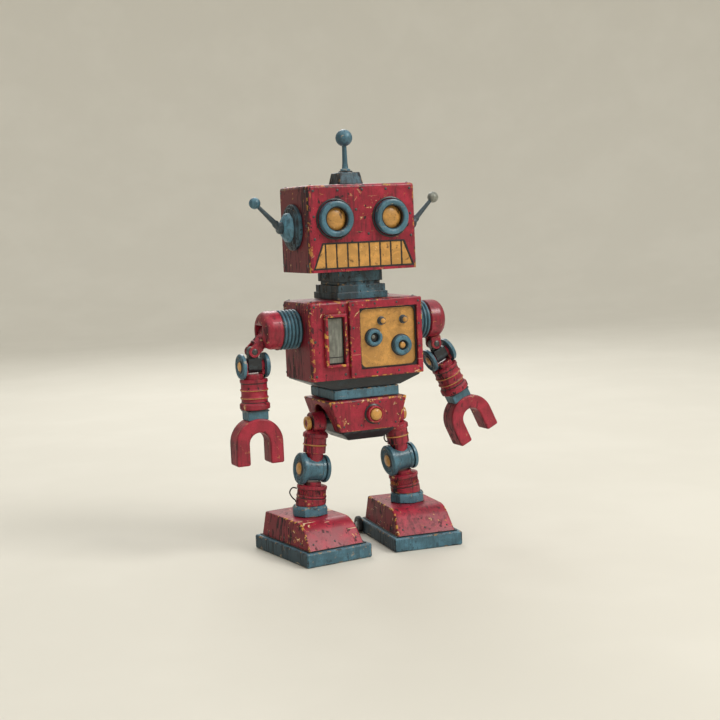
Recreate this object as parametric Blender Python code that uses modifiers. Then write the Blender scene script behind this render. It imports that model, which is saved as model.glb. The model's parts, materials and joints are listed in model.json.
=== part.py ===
"""A tin toy robot, 300 mm tall, with a turning head, jointed arms that end in claws, and hinged legs.

The robot faces -Y and stands on z = 0, and its right side is at -X. Each moving piece hangs from an
empty that sits on its joint's axis, and the empties form one chain from the pelvis outwards.
"""
import math

import bmesh
import bpy
from mathutils import Matrix, Vector

MM = 0.001

# Fits and sheet
GAP = 0.3 * MM
SHEET = 1.0 * MM
PIN_RADIUS = 2.2 * MM
BORE_RADIUS = PIN_RADIUS + 2 * GAP
ROUND = 16
SMALL_ROUND = 12

# Feet
SOLE_HEIGHT = 10 * MM
SOLE_WIDTH = 52 * MM
SOLE_FRONT = 41 * MM
SOLE_BACK = 38 * MM
FOOT_HEIGHT = 17.2 * MM
FOOT_TOP_WIDTH = 40 * MM
FOOT_EDGE = 4 * MM
FOOT_SLOPE = 13 * MM
FOOT_SHOULDER = 7 * MM
TOE_IN = 6
ROLLER_RADIUS = 6 * MM
ROLLER_WIDTH = 3.6 * MM
COLLAR_RADIUS = 13 * MM
COLLAR_HEIGHT = 7 * MM

# Legs
HIP_SPREAD = 31 * MM
SPLAY = math.radians(7)
SHIN_REACH = 25.4 * MM
THIGH_REACH = 33 * MM
THIGH_RADIUS = 8 * MM
SHIN_RADIUS = 10.8 * MM
KNEE_DRUM_RADIUS = 9 * MM
KNEE_DRUM_WIDTH = 14.6 * MM
KNEE_DISC_RADIUS = 11.3 * MM
KNEE_DISC_WIDTH = 3.8 * MM
HIP_LUG_RADIUS = 7.6 * MM
HIP_LUG_WIDTH = 9.6 * MM

# Pelvis and waist
PELVIS_TOP_WIDTH = 61 * MM
PELVIS_BOTTOM_WIDTH = 46 * MM
PELVIS_DEPTH = 48 * MM
PELVIS_HEIGHT = 22 * MM
HIP_RISE = 5.5 * MM
WAIST_WIDTH = 51 * MM
WAIST_DEPTH = 42 * MM
WAIST_HEIGHT = 7.5 * MM
BUTTON_RADIUS = 4.2 * MM
BUTTON_SHIFT = 3 * MM

# Torso
TORSO_WIDTH = 86 * MM
TORSO_DEPTH = 50 * MM
TORSO_HEIGHT = 55 * MM
TORSO_EDGE = 2.6 * MM
SKIRT_HEIGHT = 7 * MM
CONTROL_LEFT = -14.3 * MM
CONTROL_THICKNESS = 2.5 * MM
PANEL_LEFT = -6.5 * MM
PANEL_WIDTH = 45 * MM
PANEL_HEIGHT = 43 * MM
WINDOW_CENTRE = -24.5 * MM
WINDOW_WIDTH = 12.6 * MM
WINDOW_HEIGHT = 33 * MM
BATTERY_WIDTH = 40 * MM
BATTERY_HEIGHT = 34 * MM
BATTERY_DEPTH = 17 * MM

# Neck and head
NECK_WIDTH = 39 * MM
NECK_DEPTH = 42 * MM
NECK_HEIGHT = 19.5 * MM
HEAD_WIDTH = 82 * MM
HEAD_DEPTH = 52 * MM
HEAD_HEIGHT = 60 * MM
HEAD_EDGE = 2.2 * MM
EYE_SPREAD = 21.3 * MM
EYE_BELOW_TOP = 23.6 * MM
EYE_RADIUS = 12.4 * MM
EYE_BORE = 8.3 * MM
EYE_LENGTH = 5.2 * MM
MOUTH_BOTTOM_WIDTH = 75 * MM
MOUTH_TOP_WIDTH = 61 * MM
MOUTH_HEIGHT = 17 * MM
MOUTH_ABOVE_EDGE = 2.6 * MM
TEETH = 9
EAR_RADIUS = 16 * MM
EAR_BELOW_TOP = 28.3 * MM
EAR_ROD_LENGTH = 25 * MM
ANTENNA_BASE_HEIGHT = 8.5 * MM
ANTENNA_LENGTH = 24 * MM
ANTENNA_BALL = 6 * MM

# Arms
SHOULDER_BELOW_TOP = 19.2 * MM
DRUM_RADIUS = 14 * MM
DRUM_WIDTH = 14.4 * MM
CAP_WIDTH = 13.8 * MM
CAP_SLOT = 12.6 * MM
LIFT_DROP = 1.5 * MM
UPPER_ARM_LENGTH = 17 * MM
UPPER_ARM_RADIUS = 5.4 * MM
ELBOW_DROP = 10 * MM
ELBOW_DISC_RADIUS = 8.8 * MM
ELBOW_DISC_WIDTH = 2.8 * MM
ELBOW_BLOCK_WIDTH = 9.6 * MM
LUG_WIDTH = 2 * MM
FOREARM_LENGTH = 21 * MM
FOREARM_RADIUS = 9.2 * MM
WRIST_WIDTH = 15 * MM
WRIST_HEIGHT = 6 * MM
CLAW_RADIUS = 17.5 * MM
CLAW_GAP = 15 * MM
CLAW_LEG = 15 * MM
CLAW_DEPTH = 15 * MM

# Rest angles of each arm in degrees, outwards from straight down: upper arm, then forearm
ARM_REST = {"right": (46, 0), "left": (4, 25)}

# Heights, from the floor up
FOOT_TOP = SOLE_HEIGHT + GAP + FOOT_HEIGHT
COLLAR_TOP = FOOT_TOP + GAP + COLLAR_HEIGHT
KNEE_Z = COLLAR_TOP + SHIN_REACH
HIP_Z = KNEE_Z + THIGH_REACH
PELVIS_BOTTOM = HIP_Z - HIP_RISE
PELVIS_TOP = PELVIS_BOTTOM + PELVIS_HEIGHT
WAIST_TOP = PELVIS_TOP + GAP + WAIST_HEIGHT
SKIRT_TOP = WAIST_TOP + GAP + SKIRT_HEIGHT
TORSO_BOTTOM = SKIRT_TOP + GAP
TORSO_TOP = TORSO_BOTTOM + TORSO_HEIGHT
TORSO_MIDDLE = (TORSO_BOTTOM + TORSO_TOP) / 2
NECK_TOP = TORSO_TOP + GAP + NECK_HEIGHT
HEAD_BOTTOM = NECK_TOP + GAP
HEAD_TOP = HEAD_BOTTOM + HEAD_HEIGHT
EYE_Z = HEAD_TOP - EYE_BELOW_TOP
EAR_Z = HEAD_TOP - EAR_BELOW_TOP
SHOULDER_Z = TORSO_TOP - SHOULDER_BELOW_TOP
MOUTH_Z = HEAD_BOTTOM + MOUTH_ABOVE_EDGE

SIDES = {"right": -1, "left": 1}
QUARTER = math.radians(90)
ALONG_X = (0, QUARTER, 0)
FORWARD = (QUARTER, 0, 0)

PAINTS = {
    "red": ((0.33, 0.022, 0.045), 0.4, 0.0),
    "blue": ((0.07, 0.185, 0.24), 0.4, 0.0),
    "amber": ((0.6, 0.31, 0.075), 0.45, 0.0),
    "dark": ((0.022, 0.03, 0.036), 0.55, 0.0),
    "silver": ((0.24, 0.245, 0.22), 0.35, 0.8),
    "steel": ((0.45, 0.45, 0.44), 0.35, 1.0),
    "black": ((0.012, 0.012, 0.013), 0.6, 0.0),
}

for old in list(bpy.data.objects):
    bpy.data.objects.remove(old, do_unlink=True)
robot_collection = bpy.data.collections.new("toy_robot")
cutter_collection = bpy.data.collections.new("toy_robot_cutters")
bpy.context.scene.collection.children.link(robot_collection)
bpy.context.scene.collection.children.link(cutter_collection)


# ---------------------------------------------------------------- building blocks
def frame(name, parent=None, location=(0, 0, 0), turn=(0, 0, 0)):
    """An empty that carries a group of pieces; turn is in degrees."""
    empty = bpy.data.objects.new(name, None)
    empty.empty_display_size = 10 * MM
    empty.parent = parent
    empty.location = location
    empty.rotation_euler = [math.radians(angle) for angle in turn]
    robot_collection.objects.link(empty)
    return empty


def piece(name, mesh, paint, parent, location=(0, 0, 0), rotation=(0, 0, 0)):
    """A named sub-part with a material of its own."""
    colour, roughness, metallic = PAINTS[paint]
    material = bpy.data.materials.new(f"{name}_{paint}")
    material.use_nodes = True
    shader = material.node_tree.nodes["Principled BSDF"]
    shader.inputs["Base Color"].default_value = (*colour, 1)
    shader.inputs["Roughness"].default_value = roughness
    shader.inputs["Metallic"].default_value = metallic
    mesh.materials.append(material)
    obj = bpy.data.objects.new(name, mesh)
    obj.parent = parent
    obj.location = location
    obj.rotation_euler = rotation
    robot_collection.objects.link(obj)
    return obj


def guide(mesh, parent, location=(0, 0, 0), rotation=(0, 0, 0)):
    """A solid that cuts or joins another and is no sub-part itself."""
    obj = bpy.data.objects.new("guide", mesh)
    obj.parent = parent
    obj.location = location
    obj.rotation_euler = rotation
    obj.hide_render = True
    obj.display_type = "WIRE"
    cutter_collection.objects.link(obj)
    return obj


def combine(target, other, operation):
    """Cut other out of target with DIFFERENCE, or add it with UNION."""
    boolean = target.modifiers.new(operation.lower(), "BOOLEAN")
    boolean.operation = operation
    boolean.solver = "EXACT"
    boolean.object = other


def block(*sections):
    """A block whose rectangular sections (x0, x1, y0, y1, z) follow each other from the bottom up."""
    bm = bmesh.new()
    bmesh.ops.create_cube(bm, size=2)
    for corner in bm.verts:
        x0, x1, y0, y1, z = sections[1] if corner.co.z > 0 else sections[0]
        corner.co = (x1 if corner.co.x > 0 else x0, y1 if corner.co.y > 0 else y0, z)
    top = max(bm.faces, key=lambda face: face.calc_center_median().z)
    for x0, x1, y0, y1, z in sections[2:]:
        middle = top.calc_center_median()
        grown = bmesh.ops.extrude_face_region(bm, geom=[top])["geom"]
        bmesh.ops.delete(bm, geom=[top], context="FACES_ONLY")
        top = next(item for item in grown if isinstance(item, bmesh.types.BMFace))
        for corner in top.verts:
            x = x1 if corner.co.x > middle.x else x0
            y = y1 if corner.co.y > middle.y else y0
            corner.co = (x, y, z)
    return to_mesh(bm)


def to_mesh(bm):
    """The finished bmesh as mesh data, with its faces pointing out."""
    bmesh.ops.recalc_face_normals(bm, faces=bm.faces)
    mesh = bpy.data.meshes.new("shape")
    bm.to_mesh(mesh)
    bm.free()
    return mesh


def centred(width, depth, bottom, top):
    """A plain block around the z axis."""
    x, y = width / 2, depth / 2
    return block((-x, x, -y, y, bottom), (-x, x, -y, y, top))


def cylinder(radius, bottom, top, steps=ROUND):
    """A closed cylinder around the z axis."""
    bm = bmesh.new()
    move = Matrix.Translation((0, 0, (bottom + top) / 2))
    bmesh.ops.create_cone(
        bm, cap_ends=True, segments=steps, radius1=radius, radius2=radius, depth=top - bottom, matrix=move
    )
    return to_mesh(bm)


def rounded(obj, width, segments=2):
    """Round every sharp edge of a piece."""
    bevel = obj.modifiers.new("rounded", "BEVEL")
    bevel.limit_method = "ANGLE"
    bevel.angle_limit = math.radians(40)
    bevel.width = width
    bevel.segments = segments
    return obj


def hollow(obj, edge, thickness=SHEET):
    """Open the bottom of a block and give its walls the thickness of the pressed sheet, inwards."""
    bm = bmesh.new()
    bm.from_mesh(obj.data)
    floor = min(bm.faces, key=lambda face: face.calc_center_median().z)
    bmesh.ops.delete(bm, geom=[floor], context="FACES_ONLY")
    bm.to_mesh(obj.data)
    bm.free()
    rounded(obj, edge, 2)
    solidify = obj.modifiers.new("sheet", "SOLIDIFY")
    solidify.thickness = thickness
    solidify.offset = -1
    solidify.use_even_offset = True
    return obj


def profile_mesh(profile, closed):
    """A turned piece's profile as a chain of edges, as (radius, height) pairs."""
    mesh = bpy.data.meshes.new("profile")
    edges = [(i, i + 1) for i in range(len(profile) - 1)]
    if closed:
        edges.append((len(profile) - 1, 0))
    mesh.from_pydata([(radius, 0, height) for radius, height in profile], edges, [])
    return mesh


def turn_profile(obj, steps):
    """Turn an object's profile around its own z axis."""
    screw = obj.modifiers.new("turned", "SCREW")
    screw.axis = "Z"
    screw.steps = screw.render_steps = steps
    screw.use_merge_vertices = True
    screw.merge_threshold = 0.01 * MM
    return obj


def turned(name, profile, paint, parent, location=(0, 0, 0), rotation=(0, 0, 0), steps=ROUND, closed=False):
    """A turned sub-part; its profile runs down the outer side, from the top to the bottom."""
    return turn_profile(piece(name, profile_mesh(profile, closed), paint, parent, location, rotation), steps)


def turned_guide(profile, parent, location=(0, 0, 0), rotation=(0, 0, 0), steps=ROUND):
    """A turned solid that is joined to another."""
    return turn_profile(guide(profile_mesh(profile, False), parent, location, rotation), steps)


def ball_arc(radius, centre, neck_radius, steps=6):
    """Profile of a ball from its top down to where it meets a rod of neck_radius."""
    last = math.pi - math.asin(neck_radius / radius)
    angles = [last * i / steps for i in range(steps + 1)]
    return [(radius * math.sin(angle), centre + radius * math.cos(angle)) for angle in angles]


def arc(centre_x, centre_z, radius, start, end, steps):
    """Points on an arc from start to end, in degrees."""
    angles = [math.radians(start + (end - start) * i / steps) for i in range(steps + 1)]
    return [(centre_x + radius * math.cos(a), centre_z + radius * math.sin(a)) for a in angles]


def upright_plate(outline, thickness):
    """A flat outline in x and z as a plate that is centred on y = 0."""
    curve = bpy.data.curves.new("outline", "CURVE")
    curve.dimensions = "2D"
    curve.fill_mode = "BOTH"
    curve.extrude = thickness / 2
    spline = curve.splines.new("POLY")
    spline.points.add(len(outline) - 1)
    for point, (x, z) in zip(spline.points, outline):
        point.co = (x, z, 0, 1)
    spline.use_cyclic_u = True
    flat = bpy.data.objects.new("outline", curve)
    cutter_collection.objects.link(flat)
    depsgraph = bpy.context.evaluated_depsgraph_get()
    mesh = bpy.data.meshes.new_from_object(flat.evaluated_get(depsgraph))
    bpy.data.objects.remove(flat)
    bm = bmesh.new()
    bm.from_mesh(mesh)
    bmesh.ops.remove_doubles(bm, verts=bm.verts, dist=0.001 * MM)
    bmesh.ops.rotate(bm, verts=bm.verts, matrix=Matrix.Rotation(QUARTER, 3, "X"))
    return to_mesh(bm)


def wire(name, route, radius, parent):
    """A thin wire through the points of its route, smoothed."""
    points = [Vector(point) for point in route]
    padded = [points[0]] + points + [points[-1]]
    smooth = []
    for i in range(1, len(padded) - 2):
        before, start, end, after = padded[i - 1 : i + 3]
        for step in range(4):
            t = step / 4
            smooth.append(
                0.5 * (2 * start + (end - before) * t + (2 * before - 5 * start + 4 * end - after) * t**2
                       + (3 * start - before - 3 * end + after) * t**3)
            )
    smooth.append(points[-1])
    curve = bpy.data.curves.new(name, "CURVE")
    curve.dimensions = "3D"
    curve.bevel_depth = radius
    curve.bevel_resolution = 2
    curve.use_fill_caps = True
    spline = curve.splines.new("POLY")
    spline.points.add(len(smooth) - 1)
    for point, place in zip(spline.points, smooth):
        point.co = (*place, 1)
    return piece(name, curve, "black", parent)


# ---------------------------------------------------------------- frames on the joints
robot = frame("robot")
pelvis_frame = frame("pelvis_frame", robot)
torso_frame = frame("torso_frame", pelvis_frame, (0, 0, WAIST_TOP))
torso_axes = frame("torso_axes", torso_frame, (0, 0, -WAIST_TOP))
head_frame = frame("head_frame", torso_axes, (0, 0, NECK_TOP))
head_axes = frame("head_axes", head_frame, (0, 0, -NECK_TOP))


# ---------------------------------------------------------------- head
def make_head():
    x, y = HEAD_WIDTH / 2, HEAD_DEPTH / 2
    shell = piece("head_shell", centred(HEAD_WIDTH, HEAD_DEPTH, HEAD_BOTTOM, HEAD_TOP), "red", head_axes)
    hollow(shell, HEAD_EDGE)
    sleeve = EYE_BORE + 1.3 * MM
    for side, sign in SIDES.items():
        eye_place = (sign * EYE_SPREAD, -y, EYE_Z)
        hole = guide(cylinder(sleeve + GAP, -6 * MM, 3 * MM), head_axes, eye_place, FORWARD)
        combine(shell, hole, "DIFFERENCE")
        rim = 0.8 * MM
        bezel = [
            (EYE_BORE, EYE_LENGTH),
            (EYE_RADIUS - rim, EYE_LENGTH),
            (EYE_RADIUS, EYE_LENGTH - rim),
            (EYE_RADIUS, GAP),
            (sleeve, GAP),
            (sleeve, -4 * MM),
            (EYE_BORE, -4 * MM),
        ]
        turned(f"eye_bezel_{side}", bezel, "blue", head_axes, eye_place, FORWARD, 20, closed=True)
        glass = EYE_BORE - GAP
        lens = [(0, 2.6 * MM), (0.6 * glass, 2.2 * MM), (glass, 1.2 * MM), (glass, 0), (0, 0)]
        turned(f"eye_lens_{side}", lens, "amber", head_axes, eye_place, FORWARD)
    make_mouth(shell)
    ear_holes = cylinder(PIN_RADIUS + 1.6 * MM, -x - 3 * MM, x + 3 * MM)
    combine(shell, guide(ear_holes, head_axes, (0, 0, EAR_Z), ALONG_X), "DIFFERENCE")
    floor_width = HEAD_WIDTH - 2 * (SHEET + 2 * GAP)
    floor_depth = HEAD_DEPTH - 2 * (SHEET + 2 * GAP)
    floor = piece(
        "head_base",
        centred(floor_width, floor_depth, HEAD_BOTTOM + 0.4 * MM, HEAD_BOTTOM + 1.8 * MM),
        "red",
        head_axes,
    )
    neck_hole = guide(cylinder(6.6 * MM, HEAD_BOTTOM - 5 * MM, HEAD_BOTTOM + 5 * MM), head_axes)
    combine(floor, neck_hole, "DIFFERENCE")
    for side, sign in SIDES.items():
        make_ear(side, sign, x)
    make_top_antenna()


def make_mouth(shell):
    """An amber plate of wide teeth, let into the face."""
    y = HEAD_DEPTH / 2
    top_z = MOUTH_Z + MOUTH_HEIGHT
    low, high = MOUTH_BOTTOM_WIDTH / 2, MOUTH_TOP_WIDTH / 2
    opening = guide(
        block(
            (-low - GAP, low + GAP, -y - 2 * MM, -y + 2 * MM, MOUTH_Z - GAP),
            (-high - GAP, high + GAP, -y - 2 * MM, -y + 2 * MM, top_z + GAP),
        ),
        head_axes,
    )
    combine(shell, opening, "DIFFERENCE")
    front, back = -y + 0.2 * MM, -y + 2.4 * MM
    plate = piece(
        "mouth_plate",
        block((-low, low, front, back, MOUTH_Z), (-high, high, front, back, top_z)),
        "amber",
        head_axes,
    )
    pitch = MOUTH_BOTTOM_WIDTH / TEETH
    slot = 0.5 * MM
    first = -pitch * (TEETH / 2 - 1)
    groove = guide(
        block(
            (first - slot, first + slot, front - MM, front + 0.8 * MM, MOUTH_Z - MM),
            (first - slot, first + slot, front - MM, front + 0.8 * MM, top_z + MM),
        ),
        head_axes,
    )
    row = groove.modifiers.new("row", "ARRAY")
    row.count = TEETH - 1
    row.use_relative_offset = False
    row.use_constant_offset = True
    row.constant_offset_displace = (pitch, 0, 0)
    combine(plate, groove, "DIFFERENCE")


def make_ear(side, sign, wall):
    """A stepped dial on the side of the head, with a ball-ended rod that rises from its hub."""
    ear_frame = frame(f"ear_frame_{side}", head_axes, (sign * wall, 0, EAR_Z), (0, 90 * sign, 0))
    hub_top = 13 * MM
    dial = [
        (0, hub_top),
        (3.4 * MM, hub_top),
        (4.2 * MM, hub_top - MM),
        (4.2 * MM, 9.5 * MM),
        (7 * MM, 8.8 * MM),
        (9.8 * MM, 6.6 * MM),
        (11 * MM, 4.4 * MM),
        (13.2 * MM, 4.2 * MM),
        (13.8 * MM, 3.4 * MM),
        (EAR_RADIUS - 0.6 * MM, 3.2 * MM),
        (EAR_RADIUS, 2.6 * MM),
        (EAR_RADIUS, GAP),
        (PIN_RADIUS + 1.2 * MM, GAP),
        (PIN_RADIUS + 1.2 * MM, -2.4 * MM),
        (0, -2.4 * MM),
    ]
    ear = turned(f"ear_dial_{side}", dial, "blue", ear_frame, steps=18)
    ball = 4 * MM
    rod = ball_arc(ball, EAR_ROD_LENGTH, 1.3 * MM, 5) + [
        (1.9 * MM, 6 * MM),
        (2.6 * MM, 4.5 * MM),
        (2.6 * MM, 0),
        (0, 0),
    ]
    lean = math.radians(45)
    leaning_rod = turned_guide(rod, ear_frame, (0, 0, hub_top - 2 * MM), (0, -sign * lean, 0), SMALL_ROUND)
    combine(ear, leaning_rod, "UNION")


def make_top_antenna():
    low, high = 9.5 * MM, 7.8 * MM
    bottom = HEAD_TOP + GAP
    top = bottom + ANTENNA_BASE_HEIGHT
    plinth = block((-low, low, -low, low, bottom), (-high, high, -high, high, top))
    base = piece("antenna_base", plinth, "blue", head_axes)
    rounded(base, 0.5 * MM, 1)
    foot = top + GAP
    centre = foot + ANTENNA_LENGTH
    rod = ball_arc(ANTENNA_BALL, centre, 1.6 * MM) + [
        (1.9 * MM, foot + 6 * MM),
        (2.3 * MM, foot + 2.2 * MM),
        (3.6 * MM, foot + 1.6 * MM),
        (3.6 * MM, foot),
        (0, foot),
    ]
    turned("top_antenna", rod, "blue", head_axes, steps=16)


# ---------------------------------------------------------------- neck and torso
def make_neck():
    """A square column in tiers, with a spigot for the head to turn on."""
    x, y, z = NECK_WIDTH / 2, NECK_DEPTH / 2, TORSO_TOP + GAP
    step = 1.2 * MM
    inset = 2.6 * MM
    groove = 4 * MM
    tiers = [
        (0, 0),
        (0.24, 0),
        (0.24, step),
        (0.5, step),
        (0.5, groove),
        (0.62, groove),
        (0.62, inset),
        (1, inset),
    ]
    sections = [
        (-x + cut, x - cut, -y + cut, y - cut, z + share * NECK_HEIGHT) for share, cut in tiers
    ]
    neck = piece("neck_column", block(*sections), "blue", torso_axes)
    combine(neck, guide(cylinder(6 * MM, NECK_TOP - MM, NECK_TOP + 5 * MM), torso_axes), "UNION")


def make_torso():
    x, y = TORSO_WIDTH / 2, TORSO_DEPTH / 2
    box = centred(TORSO_WIDTH, TORSO_DEPTH, TORSO_BOTTOM, TORSO_TOP)
    shell = piece("torso_shell", box, "red", torso_axes)
    hollow(shell, TORSO_EDGE)
    shaft_hole = cylinder(PIN_RADIUS + 2.4 * MM, -x - 3 * MM, x + 3 * MM)
    combine(shell, guide(shaft_hole, torso_axes, (0, 0, SHOULDER_Z), ALONG_X), "DIFFERENCE")
    make_skirt()
    make_window(shell)
    make_controls(shell)
    make_battery(shell)
    can = [
        (0, 36 * MM),
        (2 * MM, 36 * MM),
        (2 * MM, 31 * MM),
        (9 * MM, 30 * MM),
        (9 * MM, 4 * MM),
        (12 * MM, 3 * MM),
        (12 * MM, 0),
        (0, 0),
    ]
    turned("motor_unit", can, "steel", torso_axes, (0, -7 * MM, SKIRT_TOP + GAP + 3.1 * MM))


def make_skirt():
    """The dark tray that closes the torso from below and turns on the waist."""
    x = TORSO_WIDTH / 2 - SHEET - 2 * GAP
    y = TORSO_DEPTH / 2 - SHEET - 2 * GAP
    low_x, low_y = WAIST_WIDTH / 2 + MM, WAIST_DEPTH / 2 + 0.5 * MM
    lid = SKIRT_TOP + 3 * MM
    tray = block(
        (-low_x, low_x, -low_y, low_y, WAIST_TOP + GAP),
        (-x, x, -y, y, SKIRT_TOP - MM),
        (-x, x, -y, y, lid),
    )
    skirt = piece("torso_skirt", tray, "dark", torso_axes)
    pivot_hole = cylinder(8 * MM + GAP, WAIST_TOP - MM, WAIST_TOP + 5 * MM)
    combine(skirt, guide(pivot_hole, torso_axes), "DIFFERENCE")


def make_window(shell):
    """A raised bezel around a silver window that is let into the torso's wall."""
    y = TORSO_DEPTH / 2
    half, tall = WINDOW_WIDTH / 2, WINDOW_HEIGHT / 2
    bezel_side = 2.2 * MM
    place = (WINDOW_CENTRE, 0, TORSO_MIDDLE)
    slot = block(
        (-half, half, -y - 6 * MM, -y + 3 * MM, -tall),
        (-half, half, -y - 6 * MM, -y + 3 * MM, tall),
    )
    combine(shell, guide(slot, torso_axes, place), "DIFFERENCE")
    wide, high = half + bezel_side, tall + bezel_side
    front, back = -y - 3.2 * MM, -y - GAP
    bezel = piece(
        "window_bezel",
        block((-wide, wide, front, back, -high), (-wide, wide, front, back, high)),
        "red",
        torso_axes,
        place,
    )
    rounded(bezel, 0.7 * MM, 1)
    combine(bezel, guide(slot, torso_axes, place), "DIFFERENCE")
    pane_x, pane_z = half - GAP, tall - GAP
    glazing = block(
        (-pane_x, pane_x, -y - 0.2 * MM, -y + 1.8 * MM, -pane_z),
        (-pane_x, pane_x, -y - 0.2 * MM, -y + 1.8 * MM, pane_z),
    )
    pane = piece("window_lens", glazing, "silver", torso_axes, place)
    rounded(pane, 0.5 * MM, 1)


def make_controls(shell):
    """A riveted frame around a recessed panel with two dials and two lamps."""
    y = TORSO_DEPTH / 2
    low, high = TORSO_MIDDLE - PANEL_HEIGHT / 2, TORSO_MIDDLE + PANEL_HEIGHT / 2
    right = PANEL_LEFT + PANEL_WIDTH
    opening = block(
        (PANEL_LEFT, right, -y - 8 * MM, -y + 4 * MM, low),
        (PANEL_LEFT, right, -y - 8 * MM, -y + 4 * MM, high),
    )
    combine(shell, guide(opening, torso_axes), "DIFFERENCE")
    front, back = -y - GAP - CONTROL_THICKNESS, -y - GAP
    edge = TORSO_WIDTH / 2 - 0.4 * MM
    bottom, top = TORSO_BOTTOM + 0.4 * MM, TORSO_TOP - 0.4 * MM
    border = piece(
        "control_frame",
        block((CONTROL_LEFT, edge, front, back, bottom), (CONTROL_LEFT, edge, front, back, top)),
        "red",
        torso_axes,
    )
    rounded(border, 0.9 * MM, 2)
    combine(border, guide(opening, torso_axes), "DIFFERENCE")
    panel = piece(
        "control_panel",
        block(
            (PANEL_LEFT + GAP, right - GAP, -y + 0.3 * MM, -y + 2 * MM, low + GAP),
            (PANEL_LEFT + GAP, right - GAP, -y + 0.3 * MM, -y + 2 * MM, high - GAP),
        ),
        "amber",
        torso_axes,
    )
    middle = PANEL_LEFT + PANEL_WIDTH / 2
    dials = {
        "right": ((middle - 11.2 * MM, 0.2 * MM), 5.8 * MM, 3.4 * MM, -1.5 * MM),
        "left": ((middle + 10.4 * MM, -6.6 * MM), 7 * MM, 3.6 * MM, 3.2 * MM),
    }
    for side, ((x, z), radius, hole, core) in dials.items():
        dial_frame = frame(f"dial_frame_{side}", torso_axes, (x, -y + 0.3 * MM, TORSO_MIDDLE + z), (90, 0, 0))
        combine(panel, guide(cylinder(1.5 * MM + GAP, -4 * MM, 2 * MM), dial_frame), "DIFFERENCE")
        depth = 4 * MM
        core_top = depth - 2.2 * MM if core < 0 else core
        dial = [(0, core_top)]
        if core > 0:
            dial += [(2 * MM, core_top), (2.2 * MM, 1.2 * MM)]
            core_top = 1.2 * MM
        dial += [
            (hole, core_top),
            (hole, depth),
            (radius - 0.7 * MM, depth),
            (radius, depth - 0.7 * MM),
            (radius, GAP),
            (1.5 * MM, GAP),
            (1.5 * MM, -2.6 * MM),
            (0, -2.6 * MM),
        ]
        turned(f"dial_{side}", dial, "blue", dial_frame)
    stalk = [
        (0, 5 * MM),
        (1.3 * MM, 4.6 * MM),
        (1.9 * MM, 3.4 * MM),
        (2.6 * MM, 3 * MM),
        (2.6 * MM, GAP),
        (0, GAP),
    ]
    for side, offset in {"right": -4.6 * MM, "left": 12.6 * MM}.items():
        place = (middle + offset, -y + 0.3 * MM, TORSO_MIDDLE + 11.6 * MM)
        turned(f"lamp_{side}", stalk, "blue", torso_axes, place, FORWARD, SMALL_ROUND)


def make_battery(shell):
    """An open tray for the cells behind a lid that swings down at the back."""
    y = TORSO_DEPTH / 2
    wide, tall = BATTERY_WIDTH / 2, BATTERY_HEIGHT / 2
    opening = block(
        (-wide, wide, y - 4 * MM, y + 4 * MM, -tall),
        (-wide, wide, y - 4 * MM, y + 4 * MM, tall),
    )
    middle = (0, 0, TORSO_MIDDLE)
    combine(shell, guide(opening, torso_axes, middle), "DIFFERENCE")
    back = y - SHEET - GAP
    front = back - BATTERY_DEPTH
    wall = 1.2 * MM
    box_x, box_z = wide + wall, tall + wall
    tray = piece(
        "battery_box",
        block((-box_x, box_x, front, back, -box_z), (-box_x, box_x, front, back, box_z)),
        "dark",
        torso_axes,
        middle,
    )
    inside = block(
        (-wide, wide, front + wall, back + MM, -tall),
        (-wide, wide, front + wall, back + MM, tall),
    )
    combine(tray, guide(inside, torso_axes, middle), "DIFFERENCE")
    lap = 2.4 * MM
    thick = 1.2 * MM
    hinge_z = TORSO_MIDDLE - tall - lap
    lid_frame = frame("battery_lid_frame", torso_axes, (0, y + GAP + thick, hinge_z))
    lid = piece(
        "battery_lid",
        block(
            (-wide - lap, wide + lap, -thick, 0, 0), (-wide - lap, wide + lap, -thick, 0, 2 * (tall + lap))
        ),
        "red",
        lid_frame,
    )
    barrel = guide(cylinder(1.1 * MM, -wide, wide, SMALL_ROUND), lid_frame, (0, 0, 0.9 * MM), ALONG_X)
    combine(lid, barrel, "UNION")


# ---------------------------------------------------------------- pelvis
def make_pelvis():
    y = PELVIS_DEPTH / 2
    high, low = PELVIS_TOP_WIDTH / 2, PELVIS_BOTTOM_WIDTH / 2
    shell = piece(
        "pelvis_shell",
        block((-low, low, -y, y, PELVIS_BOTTOM), (-high, high, -y, y, PELVIS_TOP)),
        "red",
        pelvis_frame,
    )
    hollow(shell, 1.4 * MM)
    arch = HIP_LUG_RADIUS + 5.4 * MM
    reach = high + 4 * MM
    combine(
        shell, guide(cylinder(arch, -reach, reach), pelvis_frame, (0, 0, HIP_Z), ALONG_X), "DIFFERENCE"
    )
    below = centred(2 * reach, 2 * arch, -HIP_RISE - 4 * MM, 0)
    combine(shell, guide(below, pelvis_frame, (0, 0, HIP_Z)), "DIFFERENCE")
    waist = piece(
        "waist_block", centred(WAIST_WIDTH, WAIST_DEPTH, PELVIS_TOP + GAP, WAIST_TOP), "blue", pelvis_frame
    )
    rounded(waist, 0.8 * MM, 1)
    combine(waist, guide(cylinder(8 * MM, WAIST_TOP - MM, WAIST_TOP + 4 * MM), pelvis_frame), "UNION")
    make_pelvis_pan()
    make_button(y)


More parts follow.
